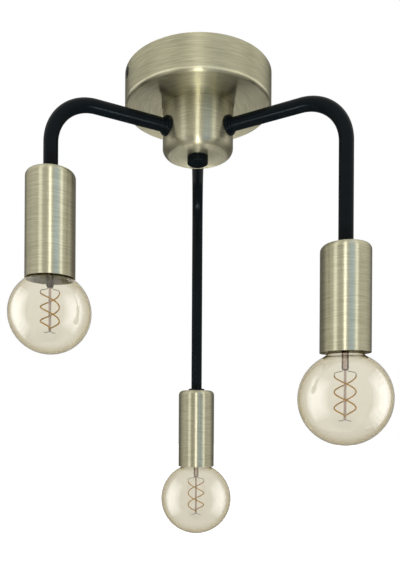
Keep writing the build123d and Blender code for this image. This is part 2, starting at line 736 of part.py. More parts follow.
def least_gap(wires, wire_r, samples=240):
    """Least distance between the surfaces of round wires, or between turns of one wire."""
    lines = [[wire @ (step / samples) for step in range(samples + 1)] for wire in wires]
    step_length = max(wire.length for wire in wires) / samples
    near = math.ceil(6 * wire_r / step_length)  # neighbours along one wire are no turns of it
    gaps = []
    for first, line in enumerate(lines):
        for second in range(first, len(lines)):
            for i, here in enumerate(line):
                others = lines[second] if second != first else line[i + near :]
                gaps += [(here - there).length for there in others]
    return min(gaps) - 2 * wire_r


def bulb_filament(lamp):
    """Two strands that wind down round the rod, half a turn apart."""
    wires = [biarcs(filament_strand(lamp, start), spans=5) for start in (0, 0.5)]
    print("filament, globe radius", lamp.globe_r, "least gap", round(least_gap(wires, FILAMENT_WIRE_R), 2))
    return at_globe(lamp, Compound(children=[swept_round(wire, FILAMENT_WIRE_R) for wire in wires]))


def bulb_wires(lamp):
    """Lead-in wires that bow out from the stem to the two strands, and the hook at the rod's end."""
    globe_r = lamp.globe_r
    strand_r = FILAMENT_SPIRAL_R * globe_r
    strand_z = FILAMENT_TOP * globe_r + FILAMENT_WIRE_R + LEAD_IN_WIRE_R
    stem_z = STEM_END * globe_r - LEAD_IN_WIRE_R
    pieces = []
    for side in (-1, 1):
        leaves = (side * LEAD_IN_SPACING / 2, 0, stem_z)
        points = [leaves, (side * strand_r, 0, stem_z - 1), (side * strand_r, 0, strand_z)]
        pieces.append(swept_round(FilletPolyline(*points, radius=LEAD_IN_BEND_R), LEAD_IN_WIRE_R))
    hook_z = ROD_END * globe_r - LEAD_IN_WIRE_R
    span = HOOK_SPAN * globe_r
    hook_end = hook_z - HOOK_DROP
    hook = FilletPolyline(
        (-span, 0, hook_end), (-span / 2, 0, hook_z), (span / 2, 0, hook_z), (span, 0, hook_end), radius=1.5
    )
    pieces.append(swept_round(hook, LEAD_IN_WIRE_R))
    return at_globe(lamp, Compound(children=pieces))


# ---------------------------------------------------------------- all pieces
SHARED_PIECES = {
    "ceiling_bracket": ceiling_bracket,
    "canopy": canopy,
    "canopy_screws": canopy_screws,
    "hub": hub,
    "tie_rod": tie_rod,
    "tie_rod_nuts": tie_rod_nuts,
    "finial_nut": finial_nut,
    "cable_bush": cable_bush,
    "terminal_block": terminal_block,
    "earth_stud": earth_stud,
    "earth_lead": earth_lead,
    "nipples": nipples,
    "nipple_nuts": nipple_nuts,
}
GROUPED_PIECES = {
    "hub_collars": hub_collar,
    "sleeve_collars": sleeve_collar,
}
LAMP_PIECES = {
    "arm": arm,
    "sleeve": sleeve,
    "holder_cap": holder_cap,
    "holder_body": holder_body,
    "holder_insert": holder_insert,
    "holder_shell": holder_shell,
    "holder_contact": holder_contact,
    "bulb_glass": bulb_glass,
    "bulb_cap": bulb_cap,
    "bulb_insulator": bulb_insulator,
    "bulb_contact": bulb_contact,
    "bulb_stem": bulb_stem,
    "bulb_filament": bulb_filament,
    "bulb_wires": bulb_wires,
}


def all_pieces():
    """Every node's name with its solid or group of solids."""
    for name, make in SHARED_PIECES.items():
        yield name, make()
    for name, make in GROUPED_PIECES.items():
        yield name, for_each_lamp(make)
    for index, lamp_name in enumerate(("left", "rear", "right")):
        lamp = LAMPS[lamp_name]
        yield f"{lamp_name}_lead", lamp_lead(lamp, index)
        for name, make in LAMP_PIECES.items():
            yield f"{lamp_name}_{name}", make(lamp)


os.makedirs("parts", exist_ok=True)
for node, piece in all_pieces():
    export_step(piece, f"parts/{node}.step")
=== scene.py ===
"""Dresses the three-arm ceiling light and sets its studio.

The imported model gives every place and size. The brass cups, black arms and small fittings keep the shapes of
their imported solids, welded and shaded smooth. Threads, filaments and terminal screws come from node trees, and
the bulbs' glass, stems and caps are turned afresh. All lengths are metres, and +Z points up into the ceiling.
"""

import json
import math
from collections import namedtuple

import bmesh
import bpy
from mathutils import Matrix, Vector

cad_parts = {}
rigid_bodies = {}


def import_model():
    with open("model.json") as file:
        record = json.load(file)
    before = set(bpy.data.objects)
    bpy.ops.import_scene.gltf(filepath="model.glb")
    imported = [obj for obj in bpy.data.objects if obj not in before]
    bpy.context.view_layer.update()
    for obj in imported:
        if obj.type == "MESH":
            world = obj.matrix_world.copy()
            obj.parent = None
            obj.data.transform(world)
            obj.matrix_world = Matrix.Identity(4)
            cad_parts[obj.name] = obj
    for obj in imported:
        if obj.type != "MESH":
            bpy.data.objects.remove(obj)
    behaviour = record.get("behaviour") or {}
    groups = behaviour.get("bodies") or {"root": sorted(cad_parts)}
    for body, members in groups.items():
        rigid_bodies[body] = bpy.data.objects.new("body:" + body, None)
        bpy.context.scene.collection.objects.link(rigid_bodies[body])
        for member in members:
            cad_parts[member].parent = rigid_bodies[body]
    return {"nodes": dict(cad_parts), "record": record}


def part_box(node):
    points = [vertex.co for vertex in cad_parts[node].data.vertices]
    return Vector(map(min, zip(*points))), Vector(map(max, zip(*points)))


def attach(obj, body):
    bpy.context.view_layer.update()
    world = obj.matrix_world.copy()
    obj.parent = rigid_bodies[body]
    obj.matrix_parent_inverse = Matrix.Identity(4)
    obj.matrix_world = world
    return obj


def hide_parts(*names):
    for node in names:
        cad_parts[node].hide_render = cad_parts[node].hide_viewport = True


bl_info = {
    "name": "Three-Arm Ceiling Light",
    "version": (1, 0, 0),
    "blender": (4, 5, 0),
    "location": "3D View > Sidebar > Ceiling Light",
    "description": "Dresses a brushed brass ceiling light with globe bulbs and sets its studio",
    "category": "Add Mesh",
}

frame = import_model()

MM = 0.001
LAMP_NAMES = ("left", "right", "rear")
FIXTURE = "fixture"
SHARP_ANGLE = math.radians(32)  # edges turned by more than this stay sharp
THREAD_SHARP_ANGLE = math.radians(50)
WELD_DISTANCE = 0.001 * MM
FLAT_ANGLE = math.radians(0.3)
EDGE_FADE = 2.5 * MM  # height over which the canopy's brushing grows dull, above its rounded edge
SLOT_OF = {row["node"]: row["material_slot"] for row in frame["record"]["subparts"]}
BODY_OF = {node: body for body, nodes in frame["record"]["behaviour"]["bodies"].items() for node in nodes}

Lamp = namedtuple("Lamp", "name x y sleeve_top rim globe_r globe_z cap_rim")


def read_lamp(name):
    """Axis, heights and globe of one lamp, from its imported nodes."""
    sleeve_low, sleeve_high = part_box(f"{name}_sleeve")
    glass_low, glass_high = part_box(f"{name}_bulb_glass")
    cap_low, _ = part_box(f"{name}_bulb_cap")
    globe_r = (glass_high.x - glass_low.x) / 2
    x, y = (sleeve_low.x + sleeve_high.x) / 2, (sleeve_low.y + sleeve_high.y) / 2
    return Lamp(name, x, y, sleeve_high.z, sleeve_low.z, globe_r, glass_low.z + globe_r, cap_low.z)


LAMPS = {name: read_lamp(name) for name in LAMP_NAMES}


# ---- node trees
class Value:
    """One output in a node tree, so that sums over a surface can be written as Python."""

    def __init__(self, nodes, socket):
        self.nodes = nodes
        self.socket = socket

    def other(self, output):
        """Another output of the same node."""
        return Value(self.nodes, self.socket.node.outputs[output])

    def __add__(self, other):
        return self.nodes.maths("ADD", self, other)

    def __radd__(self, other):
        return self.nodes.maths("ADD", other, self)

    def __sub__(self, other):
        return self.nodes.maths("SUBTRACT", self, other)

    def __rsub__(self, other):
        return self.nodes.maths("SUBTRACT", other, self)

    def __mul__(self, other):
        return self.nodes.maths("MULTIPLY", self, other)

    def __rmul__(self, other):
        return self.nodes.maths("MULTIPLY", other, self)

    def __truediv__(self, other):
        return self.nodes.maths("DIVIDE", self, other)

    def __pow__(self, other):
        return self.nodes.maths("POWER", self, other)


class Nodes:
    """Adds nodes to one tree."""

    def __init__(self, tree):
        self.tree = tree
        tree.nodes.clear()

    def add(self, kind, settings=None, sockets=None, output=0):
        """Adds a node, its settings before the values or links of its sockets, and gives one of its outputs."""
        node = self.tree.nodes.new(kind)
        for name, value in (settings or {}).items():
            setattr(node, name, value)
        for key, value in (sockets or {}).items():
            if isinstance(value, Value):
                self.tree.links.new(value.socket, node.inputs[key])
            else:
                node.inputs[key].default_value = value
        return Value(self, node.outputs[output]) if node.outputs else None

    def maths(self, operation, *inputs):
        return self.add("ShaderNodeMath", {"operation": operation}, dict(enumerate(inputs)))

    def vector(self, x, y, z):
        return self.add("ShaderNodeCombineXYZ", {}, {"X": x, "Y": y, "Z": z})

    def parts(self, vector):
        """X, Y and Z of a vector."""
        x = self.add("ShaderNodeSeparateXYZ", {}, {0: vector})
        return x, x.other("Y"), x.other("Z")

    def ease(self, value, low, high, low_gives=0.0, high_gives=1.0):
        """Smooth step of a value from low to high."""
        return self.add(
            "ShaderNodeMapRange",
            {"interpolation_type": "SMOOTHSTEP"},
            {"Value": value, "From Min": low, "From Max": high, "To Min": low_gives, "To Max": high_gives},
        )

    def noise(self, vector, scale=1.0, detail=2.0, rough=0.5):
        sockets = {"Vector": vector, "Scale": scale, "Detail": detail, "Roughness": rough}
        return self.add("ShaderNodeTexNoise", {"noise_dimensions": "3D"}, sockets)

    def mix(self, share, first, second, blend="MIX"):
        """Colour mixed from two."""
        settings = {"data_type": "RGBA", "blend_type": blend}
        return self.add("ShaderNodeMix", settings, {0: share, 6: first, 7: second}, output=2)


class Surface(Nodes):
    """The nodes of one finish."""

    def __init__(self, name):
        self.material = bpy.data.materials.new(name)
        self.material.use_nodes = True
        super().__init__(self.material.node_tree)

    def place(self, centre=(0.0, 0.0, 0.0)):
        """Object coordinates counted from a centre."""
        coordinates = self.add("ShaderNodeTexCoord", output="Object")
        away = tuple(-value for value in centre)
        return self.add("ShaderNodeMapping", {"vector_type": "POINT"}, {"Vector": coordinates, "Location": away})

    def bump(self, height, strength, depth):
        return self.add("ShaderNodeBump", {}, {"Height": height, "Strength": strength, "Distance": depth})

    def principled(self, **sockets):
        """Ends the finish in its shader. Underscores in a socket's name stand for spaces."""
        named = {key.replace("_", " "): value for key, value in sockets.items()}
        shader = self.add("ShaderNodeBsdfPrincipled", {}, named)
        self.add("ShaderNodeOutputMaterial", {}, {"Surface": shader})
        return self.material


def opaque(colour):
    return (*colour, 1.0)


def scaled(values, share):
    return tuple(value * share for value in values)


# ---- finishes
def brushed_brass(node, centre=(0.0, 0.0, 0.0), lean=1.0, dull_above=None):
    """Antique brass for a node, with hairlines brushed round a vertical axis through centre.

    lean is 1 on a cup with its mouth up and -1 with its mouth down, so that height plus lean times radius
    grows steadily from the middle of the flat end over the rounded edge and along the wall. Above the height
    dull_above, if given, the brushing is rougher.
    """
    look = bpy.context.scene.ceiling_light_brass
    surface = Surface(f"brass_{node}")
    place = surface.place(centre)
    x, y, z = surface.parts(place)
    across = z + (x * x + y * y) ** 0.5 * lean

    def streaks(length, width, rough):
        """Noise drawn out along the brushing. Length and width are counted in hairlines."""
        along = 1 / (look.hairline_length * length)
        drawn = surface.vector(x * along, y * along, across / (look.hairline_width * width))
        return surface.noise(drawn, rough=rough)

    fine = streaks(0.7, 1.1, 0.6)
    coarse = streaks(1.2, 3.5, 0.5)
    scratches = surface.ease(streaks(0.7, 2.0, 0.6), 0.62, 0.74)
    cloud = surface.noise(place, scale=28.0)
    tone = surface.ease(fine * 0.74 + coarse * 0.12 + cloud * 0.14, 0.32, 0.68)
    colour = surface.mix(tone, opaque(look.shade), opaque(look.light))
    roughness = look.roughness + (fine - 0.5) * 0.14
    if dull_above is not None:
        roughness = roughness + surface.ease(z, dull_above, dull_above + EDGE_FADE) * look.dulling
    return surface.principled(
        Base_Color=surface.mix(scratches * 0.3, colour, opaque(scaled(look.shade, 0.5))),
        Metallic=1.0,
        Roughness=roughness,
        Anisotropic=look.spread,
        Anisotropic_Rotation=0.25,
        Normal=surface.bump(fine * 0.7 + coarse * 0.3, 0.3, look.hairline_width * 0.05),
    )


def black_enamel(name):
    """Satin black stove enamel, very slightly uneven."""
    look = bpy.context.scene.ceiling_light_paint
    surface = Surface(name)
    place = surface.place()
    skin = surface.noise(place, scale=900.0, detail=2.0)
    waves = surface.noise(place, scale=110.0, detail=1.0)
    return surface.principled(
        Base_Color=surface.mix(waves, opaque(scaled(look.colour, 0.8)), opaque(scaled(look.colour, 1.25))),
        Roughness=look.roughness + (skin - 0.5) * 0.1,
        Specular_IOR_Level=look.gloss,
        Normal=surface.bump(skin * 0.4 + waves * 0.6, 0.12, 0.05 * MM),
    )


def plain_metal(name, colour, roughness, grain=260.0):
    """Plated or bright small part with faint cloudy wear."""
    surface = Surface(name)
    place = surface.place()
    cloud = surface.noise(place, scale=grain, detail=3.0)
    speck = surface.noise(place, scale=grain * 9, detail=1.0)
    return surface.principled(
        Base_Color=surface.mix(cloud, opaque(scaled(colour, 0.82)), opaque(colour)),
        Metallic=1.0,
        Roughness=roughness + (cloud - 0.5) * 0.18,
        Normal=surface.bump(speck, 0.08, 0.02 * MM),
    )


def moulded(name, colour, roughness, texture=1400.0, depth=0.02 * MM):
    """Moulded plastic, rubber or glazed ceramic with a fine skin."""
    surface = Surface(name)
    place = surface.place()
    skin = surface.noise(place, scale=texture, detail=2.0)
    cloud = surface.noise(place, scale=70.0, detail=2.0)
    return surface.principled(
        Base_Color=surface.mix(cloud, opaque(scaled(colour, 0.9)), opaque(colour)),
        Roughness=roughness + (skin - 0.5) * 0.1,
        Normal=surface.bump(skin, 0.15, depth),
    )


def earth_sheath(name):
    """Green sheath with a yellow stripe."""
    surface = Surface(name)
    x, y, z = surface.parts(surface.place())
    stripe = surface.ease(surface.maths("PINGPONG", (x + y) * 160 + z * 90, 1.0), 0.45, 0.55)
    return surface.principled(
        Base_Color=surface.mix(stripe, (0.05, 0.22, 0.03, 1), (0.62, 0.52, 0.03, 1)),
        Roughness=0.45,
    )


def blown_glass(name, tint, rim_tint):
    """Clear tinted glass whose tint deepens where it is seen edge on."""
    surface = Surface(name)
    edge = surface.add("ShaderNodeLayerWeight", {}, {"Blend": 0.5}, output="Facing")
    deep = surface.ease(edge, 0.3, 0.95)
    cloud = surface.noise(surface.place(), scale=24.0, detail=1.0)
    return surface.principled(
        Base_Color=surface.mix(deep, opaque(tint), opaque(rim_tint)),
        Roughness=0.0,
        IOR=1.47,
        Transmission_Weight=1.0,
        Normal=surface.bump(cloud, 0.05, 0.1 * MM),
    )


def amber_filament(name):
    """Unlit filament with slight banding along it."""
    look = bpy.context.scene.ceiling_light_bulb
    surface = Surface(name)
    bands = surface.noise(surface.place(), scale=700.0, detail=2.0)
    return surface.principled(
        Base_Color=surface.mix(bands, opaque(scaled(look.filament, 0.7)), opaque(look.filament)),
        Roughness=0.5,
        Specular_IOR_Level=0.2,
    )


def bulb_glass(name):
    look = bpy.context.scene.ceiling_light_bulb
    return blown_glass(name, tuple(look.tint), tuple(look.rim_tint))


def stem_glass(name):
    look = bpy.context.scene.ceiling_light_bulb
    return blown_glass(name, tuple(look.stem), scaled(look.stem, 0.3))


MAKERS = {
    "black_paint": black_enamel,
    "zinc_steel": lambda name: plain_metal(name, (0.62, 0.63, 0.64), 0.34),
    "nickel": lambda name: plain_metal(name, (0.66, 0.63, 0.58), 0.22, grain=400.0),
    "dark_wire": lambda name: plain_metal(name, (0.20, 0.17, 0.15), 0.35, grain=400.0),
    "solder": lambda name: plain_metal(name, (0.55, 0.55, 0.54), 0.38, grain=900.0),
    "brass_contact": lambda name: plain_metal(name, (0.78, 0.60, 0.32), 0.25),
    "filament": amber_filament,
    "clear_glass": stem_glass,
    "tinted_glass": bulb_glass,
    "black_glass": lambda name: moulded(name, (0.012, 0.012, 0.014), 0.12, depth=0.004 * MM),
    "black_plastic": lambda name: moulded(name, (0.02, 0.02, 0.02), 0.5),
    "white_plastic": lambda name: moulded(name, (0.80, 0.80, 0.77), 0.45),
    "ceramic": lambda name: moulded(name, (0.84, 0.82, 0.77), 0.25, texture=500.0),
    "cable": lambda name: moulded(name, (0.03, 0.03, 0.03), 0.5, texture=900.0),
    "earth_cable": earth_sheath,
}


def finish(slot):
    """The material of a slot, made once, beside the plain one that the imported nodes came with."""
    name = f"{slot}_finish"
    return bpy.data.materials.get(name) or MAKERS[slot](name)


# ---- meshes
def rounded(corners, steps=6):
    """Closed outline of (radius, height) points from corners with an optional rounding as third value."""
    points = []
    for index, corner in enumerate(corners):
        here = Vector(corner[:2])
        if len(corner) == 2:
            points.append(here)
            continue
        to_last = (Vector(corners[index - 1][:2]) - here).normalized()
        to_next = (Vector(corners[(index + 1) % len(corners)][:2]) - here).normalized()
        half = to_last.angle(to_next) / 2
        middle = here + (to_last + to_next).normalized() * (corner[2] / math.sin(half))
        start = here + to_last * (corner[2] / math.tan(half)) - middle
        turn = math.copysign(math.pi - 2 * half, to_last.cross(to_next))
        points += [middle + Matrix.Rotation(-turn * step / steps, 2) @ start for step in range(steps + 1)]
    return points


def divided(outline, longest):
    """An outline with its long runs cut into shorter ones."""
    points = []
    for here, there in zip(outline, [*outline[1:], outline[0]]):
        cuts = max(1, math.ceil((there - here).length / longest))
        points += [here.lerp(there, cut / cuts) for cut in range(cuts)]
    return points


def turned(outline, segments=96):
    """Closed mesh of an outline turned about the z axis."""
    body = bmesh.new()
    turns = [2 * math.pi * index / segments for index in range(segments)]
    rings = []
    for radius, height in outline:
        if radius < WELD_DISTANCE:
            rings.append([body.verts.new((0, 0, height))] * segments)
        else:
            rings.append([body.verts.new((radius * math.cos(a), radius * math.sin(a), height)) for a in turns])
    for lower, upper in zip(rings, [*rings[1:], rings[0]]):
        for index in range(segments):
            after = (index + 1) % segments
            corners = list(dict.fromkeys([lower[index], lower[after], upper[after], upper[index]]))
            if len(corners) > 2:
                body.faces.new(corners)
    bmesh.ops.recalc_face_normals(body, faces=body.faces)
    return body


def shade(piece, sharp_angle=SHARP_ANGLE):
    """Smooth shading, except over edges that turn by more than an angle."""
    piece.data.shade_smooth()
    piece.data.set_sharp_from_angle(angle=sharp_angle)
    return piece


def new_object(name, body, material):
    """Object of a finished bmesh."""
    mesh = bpy.data.meshes.new(name)
    body.to_mesh(mesh)
    body.free()
    mesh.materials.append(material)
    piece = bpy.data.objects.new(name, mesh)
    bpy.context.scene.collection.objects.link(piece)
    return shade(piece)


def settle(piece):
    """Keeps what a piece's modifiers make of it as its plain mesh."""
    bpy.context.view_layer.update()
    graph = bpy.context.evaluated_depsgraph_get()
    mesh = bpy.data.meshes.new_from_object(piece.evaluated_get(graph), preserve_all_data_layers=True, depsgraph=graph)
    piece.modifiers.clear()
    piece.data = mesh
    mesh.name = piece.name
    return piece


def hold(piece, *nodes):
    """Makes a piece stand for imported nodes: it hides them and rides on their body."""
    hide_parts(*nodes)
    SLOT_OF[nodes[0]]
    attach(piece, BODY_OF[nodes[0]])
    return piece


def dressed(node, name, material):
    """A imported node's own shape, welded, with flat faces that stay flat and round ones shaded smooth."""
    body = bmesh.new()
    body.from_mesh(frame["nodes"][node].data)
    bmesh.ops.remove_doubles(body, verts=body.verts, dist=WELD_DISTANCE)
    bmesh.ops.dissolve_limit(body, angle_limit=FLAT_ANGLE, verts=body.verts, edges=body.edges)
    piece = new_object(name, body, material)
    weighted = piece.modifiers.new("weighted", "WEIGHTED_NORMAL")
    weighted.keep_sharp = True
    weighted.weight = 100
    return hold(settle(piece), node)


def moved(piece, *places):
    """Bakes a place into a piece's mesh, or several places as copies in one mesh."""
    body = bmesh.new()
    for place in places:
        start = len(body.verts)
        body.from_mesh(piece.data)
        body.verts.ensure_lookup_table()
        bmesh.ops.transform(body, matrix=place, verts=body.verts[start:])
    body.to_mesh(piece.data)
    body.free()
    return piece


def at_lamp(lamp, height=0.0):
    return Matrix.Translation((lamp.x, lamp.y, height))


def modify(piece, tree, values):
    """Puts a node tree on a piece, with the values of its named inputs."""
    modifier = piece.modifiers.new(tree.name, "NODES")
    modifier.node_group = tree
    sockets = {item.name: item.identifier for item in tree.interface.items_tree if item.item_type == "SOCKET"}
    for name, value in values.items():
        modifier[sockets[name]] = value
    return piece


# ---- node trees that make shapes
class Shape(Nodes):
    """A geometry tree with named inputs. It ends in Realize Instances and Set Material."""

    def __init__(self, name, inputs):
        tree = bpy.data.node_groups.new(name, "GeometryNodeTree")
        super().__init__(tree)
        tree.interface.new_socket("Geometry", in_out="INPUT", socket_type="NodeSocketGeometry")
        for label, kind in inputs.items():
            tree.interface.new_socket(label, in_out="INPUT", socket_type=f"NodeSocket{kind}")
        tree.interface.new_socket("Finish", in_out="INPUT", socket_type="NodeSocketMaterial")
        tree.interface.new_socket("Geometry", in_out="OUTPUT", socket_type="NodeSocketGeometry")
        self.given = self.add("NodeGroupInput")

    def __getitem__(self, label):
        return self.given.other(label)

    def end(self, geometry):
        real = self.add("GeometryNodeRealizeInstances", {}, {"Geometry": geometry})
        clad = self.add("GeometryNodeSetMaterial", {}, {"Geometry": real, "Material": self["Finish"]})
        self.add("NodeGroupOutput", {}, {"Geometry": clad})
        return self.tree


def thread_tree():
    """Raises a helical thread on the part of a turned piece between two heights, outside an inner radius."""
    inputs = ("Pitch", "Depth", "Low", "High", "Run-out", "Inner Radius")
    shape = Shape("screw_thread", dict.fromkeys(inputs, "Float"))
    x, y, z = shape.parts(shape.add("GeometryNodeInputPosition"))
    radius = (x * x + y * y) ** 0.5
    turn = z / shape["Pitch"] - shape.maths("ARCTAN2", y, x) / (2 * math.pi)
    crest = shape.ease(shape.maths("PINGPONG", turn, 0.5), 0.0, 0.5)
    rises = shape.ease(z, shape["Low"], shape["Low"] + shape["Run-out"])
    ends = shape.ease(z, shape["High"] - shape["Run-out"], shape["High"])
    outside = shape.maths("GREATER_THAN", radius, shape["Inner Radius"])
    reach = shape["Depth"] * crest * rises * (1 - ends) * outside
    away = shape.vector(x / radius * reach, y / radius * reach, 0.0)
    cut = shape.add("GeometryNodeSetPosition", {}, {"Geometry": shape["Geometry"], "Offset": away})
    return shape.end(cut)


def filament_tree():
    """Two strands that wind down round the stem's rod, half a turn apart, and close in on it at the end."""
    inputs = ("Spiral Radius", "End Radius", "Top", "Fall", "Turns", "Wire Radius")
    shape = Shape("filament", dict.fromkeys(inputs, "Float"))
    line = shape.add("GeometryNodeCurvePrimitiveLine")
    points = shape.add("GeometryNodeResampleCurve", {}, {"Curve": line, "Count": 140})
    share = shape.add("GeometryNodeSplineParameter", output="Factor")
    angle = share * shape["Turns"] * (2 * math.pi)
    closing = shape.maths("MAXIMUM", (share - 0.8) * 5, 0.0) ** 2
    radius = shape["Spiral Radius"] * (1 - closing) + shape["End Radius"] * closing
    x = radius * shape.maths("COSINE", angle)
    y = radius * shape.maths("SINE", angle)
    place = shape.vector(x, y, shape["Top"] - shape["Fall"] * share)
    strand = shape.add("GeometryNodeSetPosition", {}, {"Geometry": points, "Position": place})
    section = shape.add("GeometryNodeCurvePrimitiveCircle", {}, {"Resolution": 12, "Radius": shape["Wire Radius"]})
    sweep = {"Curve": strand, "Profile Curve": section, "Fill Caps": True}
    wire = shape.add("GeometryNodeCurveToMesh", {}, sweep)
    across = shape.add("GeometryNodeTransform", {}, {"Geometry": wire, "Rotation": (0.0, 0.0, math.pi)})
    both = shape.add("GeometryNodeJoinGeometry", {}, {"Geometry": wire})
    shape.tree.links.new(across.socket, both.socket.node.inputs["Geometry"])
    return shape.end(both)


def set_out_tree():
    """Sets one copy of a small piece at each point, upright."""
    shape = Shape("set_out", {"Piece": "Object", "Turn": "Float"})
    model = shape.add("GeometryNodeObjectInfo", {}, {"Object": shape["Piece"]}, output="Geometry")
    rotation = shape.add("FunctionNodeEulerToRotation", {}, {0: shape.vector(0.0, 0.0, shape["Turn"])})
    sockets = {"Points": shape["Geometry"], "Instance": model, "Rotation": rotation}
    return shape.end(shape.add("GeometryNodeInstanceOnPoints", {}, sockets))


def shape_tree(name):
    """A node tree that makes a shape, made once."""
    makers = {"screw_thread": thread_tree, "filament": filament_tree, "set_out": set_out_tree}
    return bpy.data.node_groups.get(name) or makers[name]()


# ---- settings
def colour_setting(name, description, default):
    return bpy.props.FloatVectorProperty(
        name=name, description=description, subtype="COLOR", size=3, min=0.0, max=1.0, default=default
    )


def share_setting(name, description, default):
    return bpy.props.FloatProperty(
        name=name, description=description, subtype="FACTOR", min=0.0, max=1.0, default=default
    )


def length_setting(name, description, default):
    return bpy.props.FloatProperty(
        name=name, description=description, subtype="DISTANCE", unit="LENGTH", precision=5, default=default
    )


def angle_setting(name, description, degrees):
    return bpy.props.FloatProperty(
        name=name, description=description, subtype="ANGLE", unit="ROTATION", default=math.radians(degrees)
    )


def number_setting(name, description, default):
    return bpy.props.FloatProperty(name=name, description=description, min=0.0, precision=4, default=default)


class BrassLook(bpy.types.PropertyGroup):
    """Brushed antique brass of canopy, hub and sleeves."""

    light: colour_setting("Light Tone", "Brass between the hairlines", (0.70, 0.67, 0.47))
    shade: colour_setting("Shade Tone", "Brass in the hairlines", (0.47, 0.44, 0.295))
    roughness: share_setting("Roughness", "Middle roughness of the brushing", 0.37)
    dulling: share_setting("Dulling", "Extra roughness on the canopy's wall", 0.24)
    spread: share_setting("Spread", "How far highlights spread across the hairlines", 0.94)
    hairline_width: length_setting("Hairline Width", "Width of the hairlines", 0.5 * MM)
    hairline_length: length_setting("Hairline Length", "Length of a hairline along the brushing", 30 * MM)


class PaintLook(bpy.types.PropertyGroup):
    """Black enamel of arms, collars and finial."""

    colour: colour_setting("Colour", "Enamel colour", (0.0022, 0.0042, 0.0055))
    roughness: share_setting("Roughness", "Roughness of the enamel", 0.24)
    gloss: share_setting("Gloss", "Strength of the enamel's reflections", 0.10)


class BulbLook(bpy.types.PropertyGroup):
    """Glass, filament and stem of the bulbs."""

    tint: colour_setting("Glass Tint", "Glass seen square on", (0.855, 0.83, 0.745))
    rim_tint: colour_setting("Rim Tint", "Glass seen edge on", (0.56, 0.47, 0.27))
    filament: colour_setting("Filament", "Amber of the filament", (0.75, 0.40, 0.05))
    stem: colour_setting("Stem", "Glass of the stem", (0.56, 0.47, 0.46))
    wall: length_setting("Wall", "Thickness of the glass", 1.0 * MM)
    neck_radius: length_setting("Neck Radius", "Radius of the neck under the cap", 16.0 * MM)
    throat_radius: length_setting("Throat Radius", "Radius of the glass inside the cap", 13.2 * MM)
    neck_curve: length_setting("Neck Curve", "Radius of the hollow curve from neck to globe", 8.0 * MM)
    wire_radius: length_setting("Filament Radius", "Radius of the filament's strands", 0.65 * MM)
    lead_radius: length_setting("Wire Radius", "Radius of the supporting wires", 0.32 * MM)


class ThreadSizes(bpy.types.PropertyGroup):
    """Pitches and depths of the threads."""

    cap_pitch: length_setting("Cap Pitch", "Pitch of the bulbs' rolled thread", 3.63 * MM)
    cap_depth: length_setting("Cap Depth", "Depth of the bulbs' rolled thread", 0.85 * MM)
    nipple_pitch: length_setting("Nipple Pitch", "Pitch on the nipples", 1.0 * MM)
    nipple_depth: length_setting("Nipple Depth", "Depth of the nipples' thread", 0.45 * MM)
    rod_pitch: length_setting("Rod Pitch", "Pitch on the tie rod", 1.25 * MM)
    rod_depth: length_setting("Rod Depth", "Depth of the rod's thread", 0.6 * MM)


class StudioLook(bpy.types.PropertyGroup):
    """Camera, floor and light."""

    camera: bpy.props.FloatVectorProperty(
        name="Camera",
        description="Place of the camera, level with the middle bulbs",
        subtype="TRANSLATION",
        unit="LENGTH",
        size=3,
        precision=4,
        default=(0.0004, -0.66215, -0.3752),
    )
    heading: angle_setting("Heading", "Camera's turn to the left of +Y", 1.37)
    roll: angle_setting("Roll", "Camera's turn about its line of sight", 0.32)
    focal: number_setting("Focal Length", "Lens in millimetres", 38.18)
    shift_x: number_setting("Shift X", "Sideways lens shift", 0.0313)
    shift_y: number_setting("Shift Y", "Upward lens shift", 0.2398)
    ambient: number_setting("Ambient", "Luminance all round", 0.60)
    light: number_setting("Strips", "Brightness of the strips", 1.0)
    bar: number_setting("Bar", "Luminance of the low bar", 16.0)
    panel: number_setting("Panels", "Luminance of the high panels", 0.9)
    window: number_setting("Windows", "Luminance of the windows", 4.6)
    strip_distance: length_setting("Strip Distance", "From a cup's axis to its strips", 0.62)
    strip_height: length_setting("Strip Height", "Middle of the strips", -0.4)
    strip_length: length_setting("Strip Length", "Height of the strips", 2.4)
    floor_drop: length_setting("Floor Drop", "Floor below the lowest bulb", 1.1)
    floor_size: length_setting("Floor Size", "Side of the square floor", 60.0)
    floor_tone: share_setting("Floor Tone", "Brightness of the floor's own colour", 0.86)


# ---- brass
class BrassCups(bpy.types.Operator):
    """Canopy and hub in brass brushed round their upright axis"""

    bl_idname = "ceiling_light.brass_cups"
    bl_label = "Canopy and Hub"

    def execute(self, context):
        floor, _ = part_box("canopy")
        dressed("canopy", "canopy_cup", brushed_brass("canopy", dull_above=floor.z + EDGE_FADE))
        dressed("hub", "hub_cup", brushed_brass("hub"))
        return {"FINISHED"}


class Sleeves(bpy.types.Operator):
    """Three sleeves in brass brushed round their own axes"""

    bl_idname = "ceiling_light.sleeves"
    bl_label = "Sleeves"

    def execute(self, context):
        for name, lamp in LAMPS.items():
            node = f"{name}_sleeve"
            dressed(node, f"{node}_cup", brushed_brass(node, (lamp.x, lamp.y, 0.0), lean=-1.0))
        return {"FINISHED"}


# ---- black metal
class Arms(bpy.types.Operator):
    """Bent arms with their collars, the finial nut and the canopy's side screws, in black enamel"""

    bl_idname = "ceiling_light.arms"
    bl_label = "Arms and Black Fittings"

    def execute(self, context):
        arms = [f"{name}_arm" for name in LAMPS]
        for node in (*arms, "hub_collars", "sleeve_collars", "finial_nut", "canopy_screws"):
            dressed(node, f"{node}_black", finish("black_paint"))
        return {"FINISHED"}


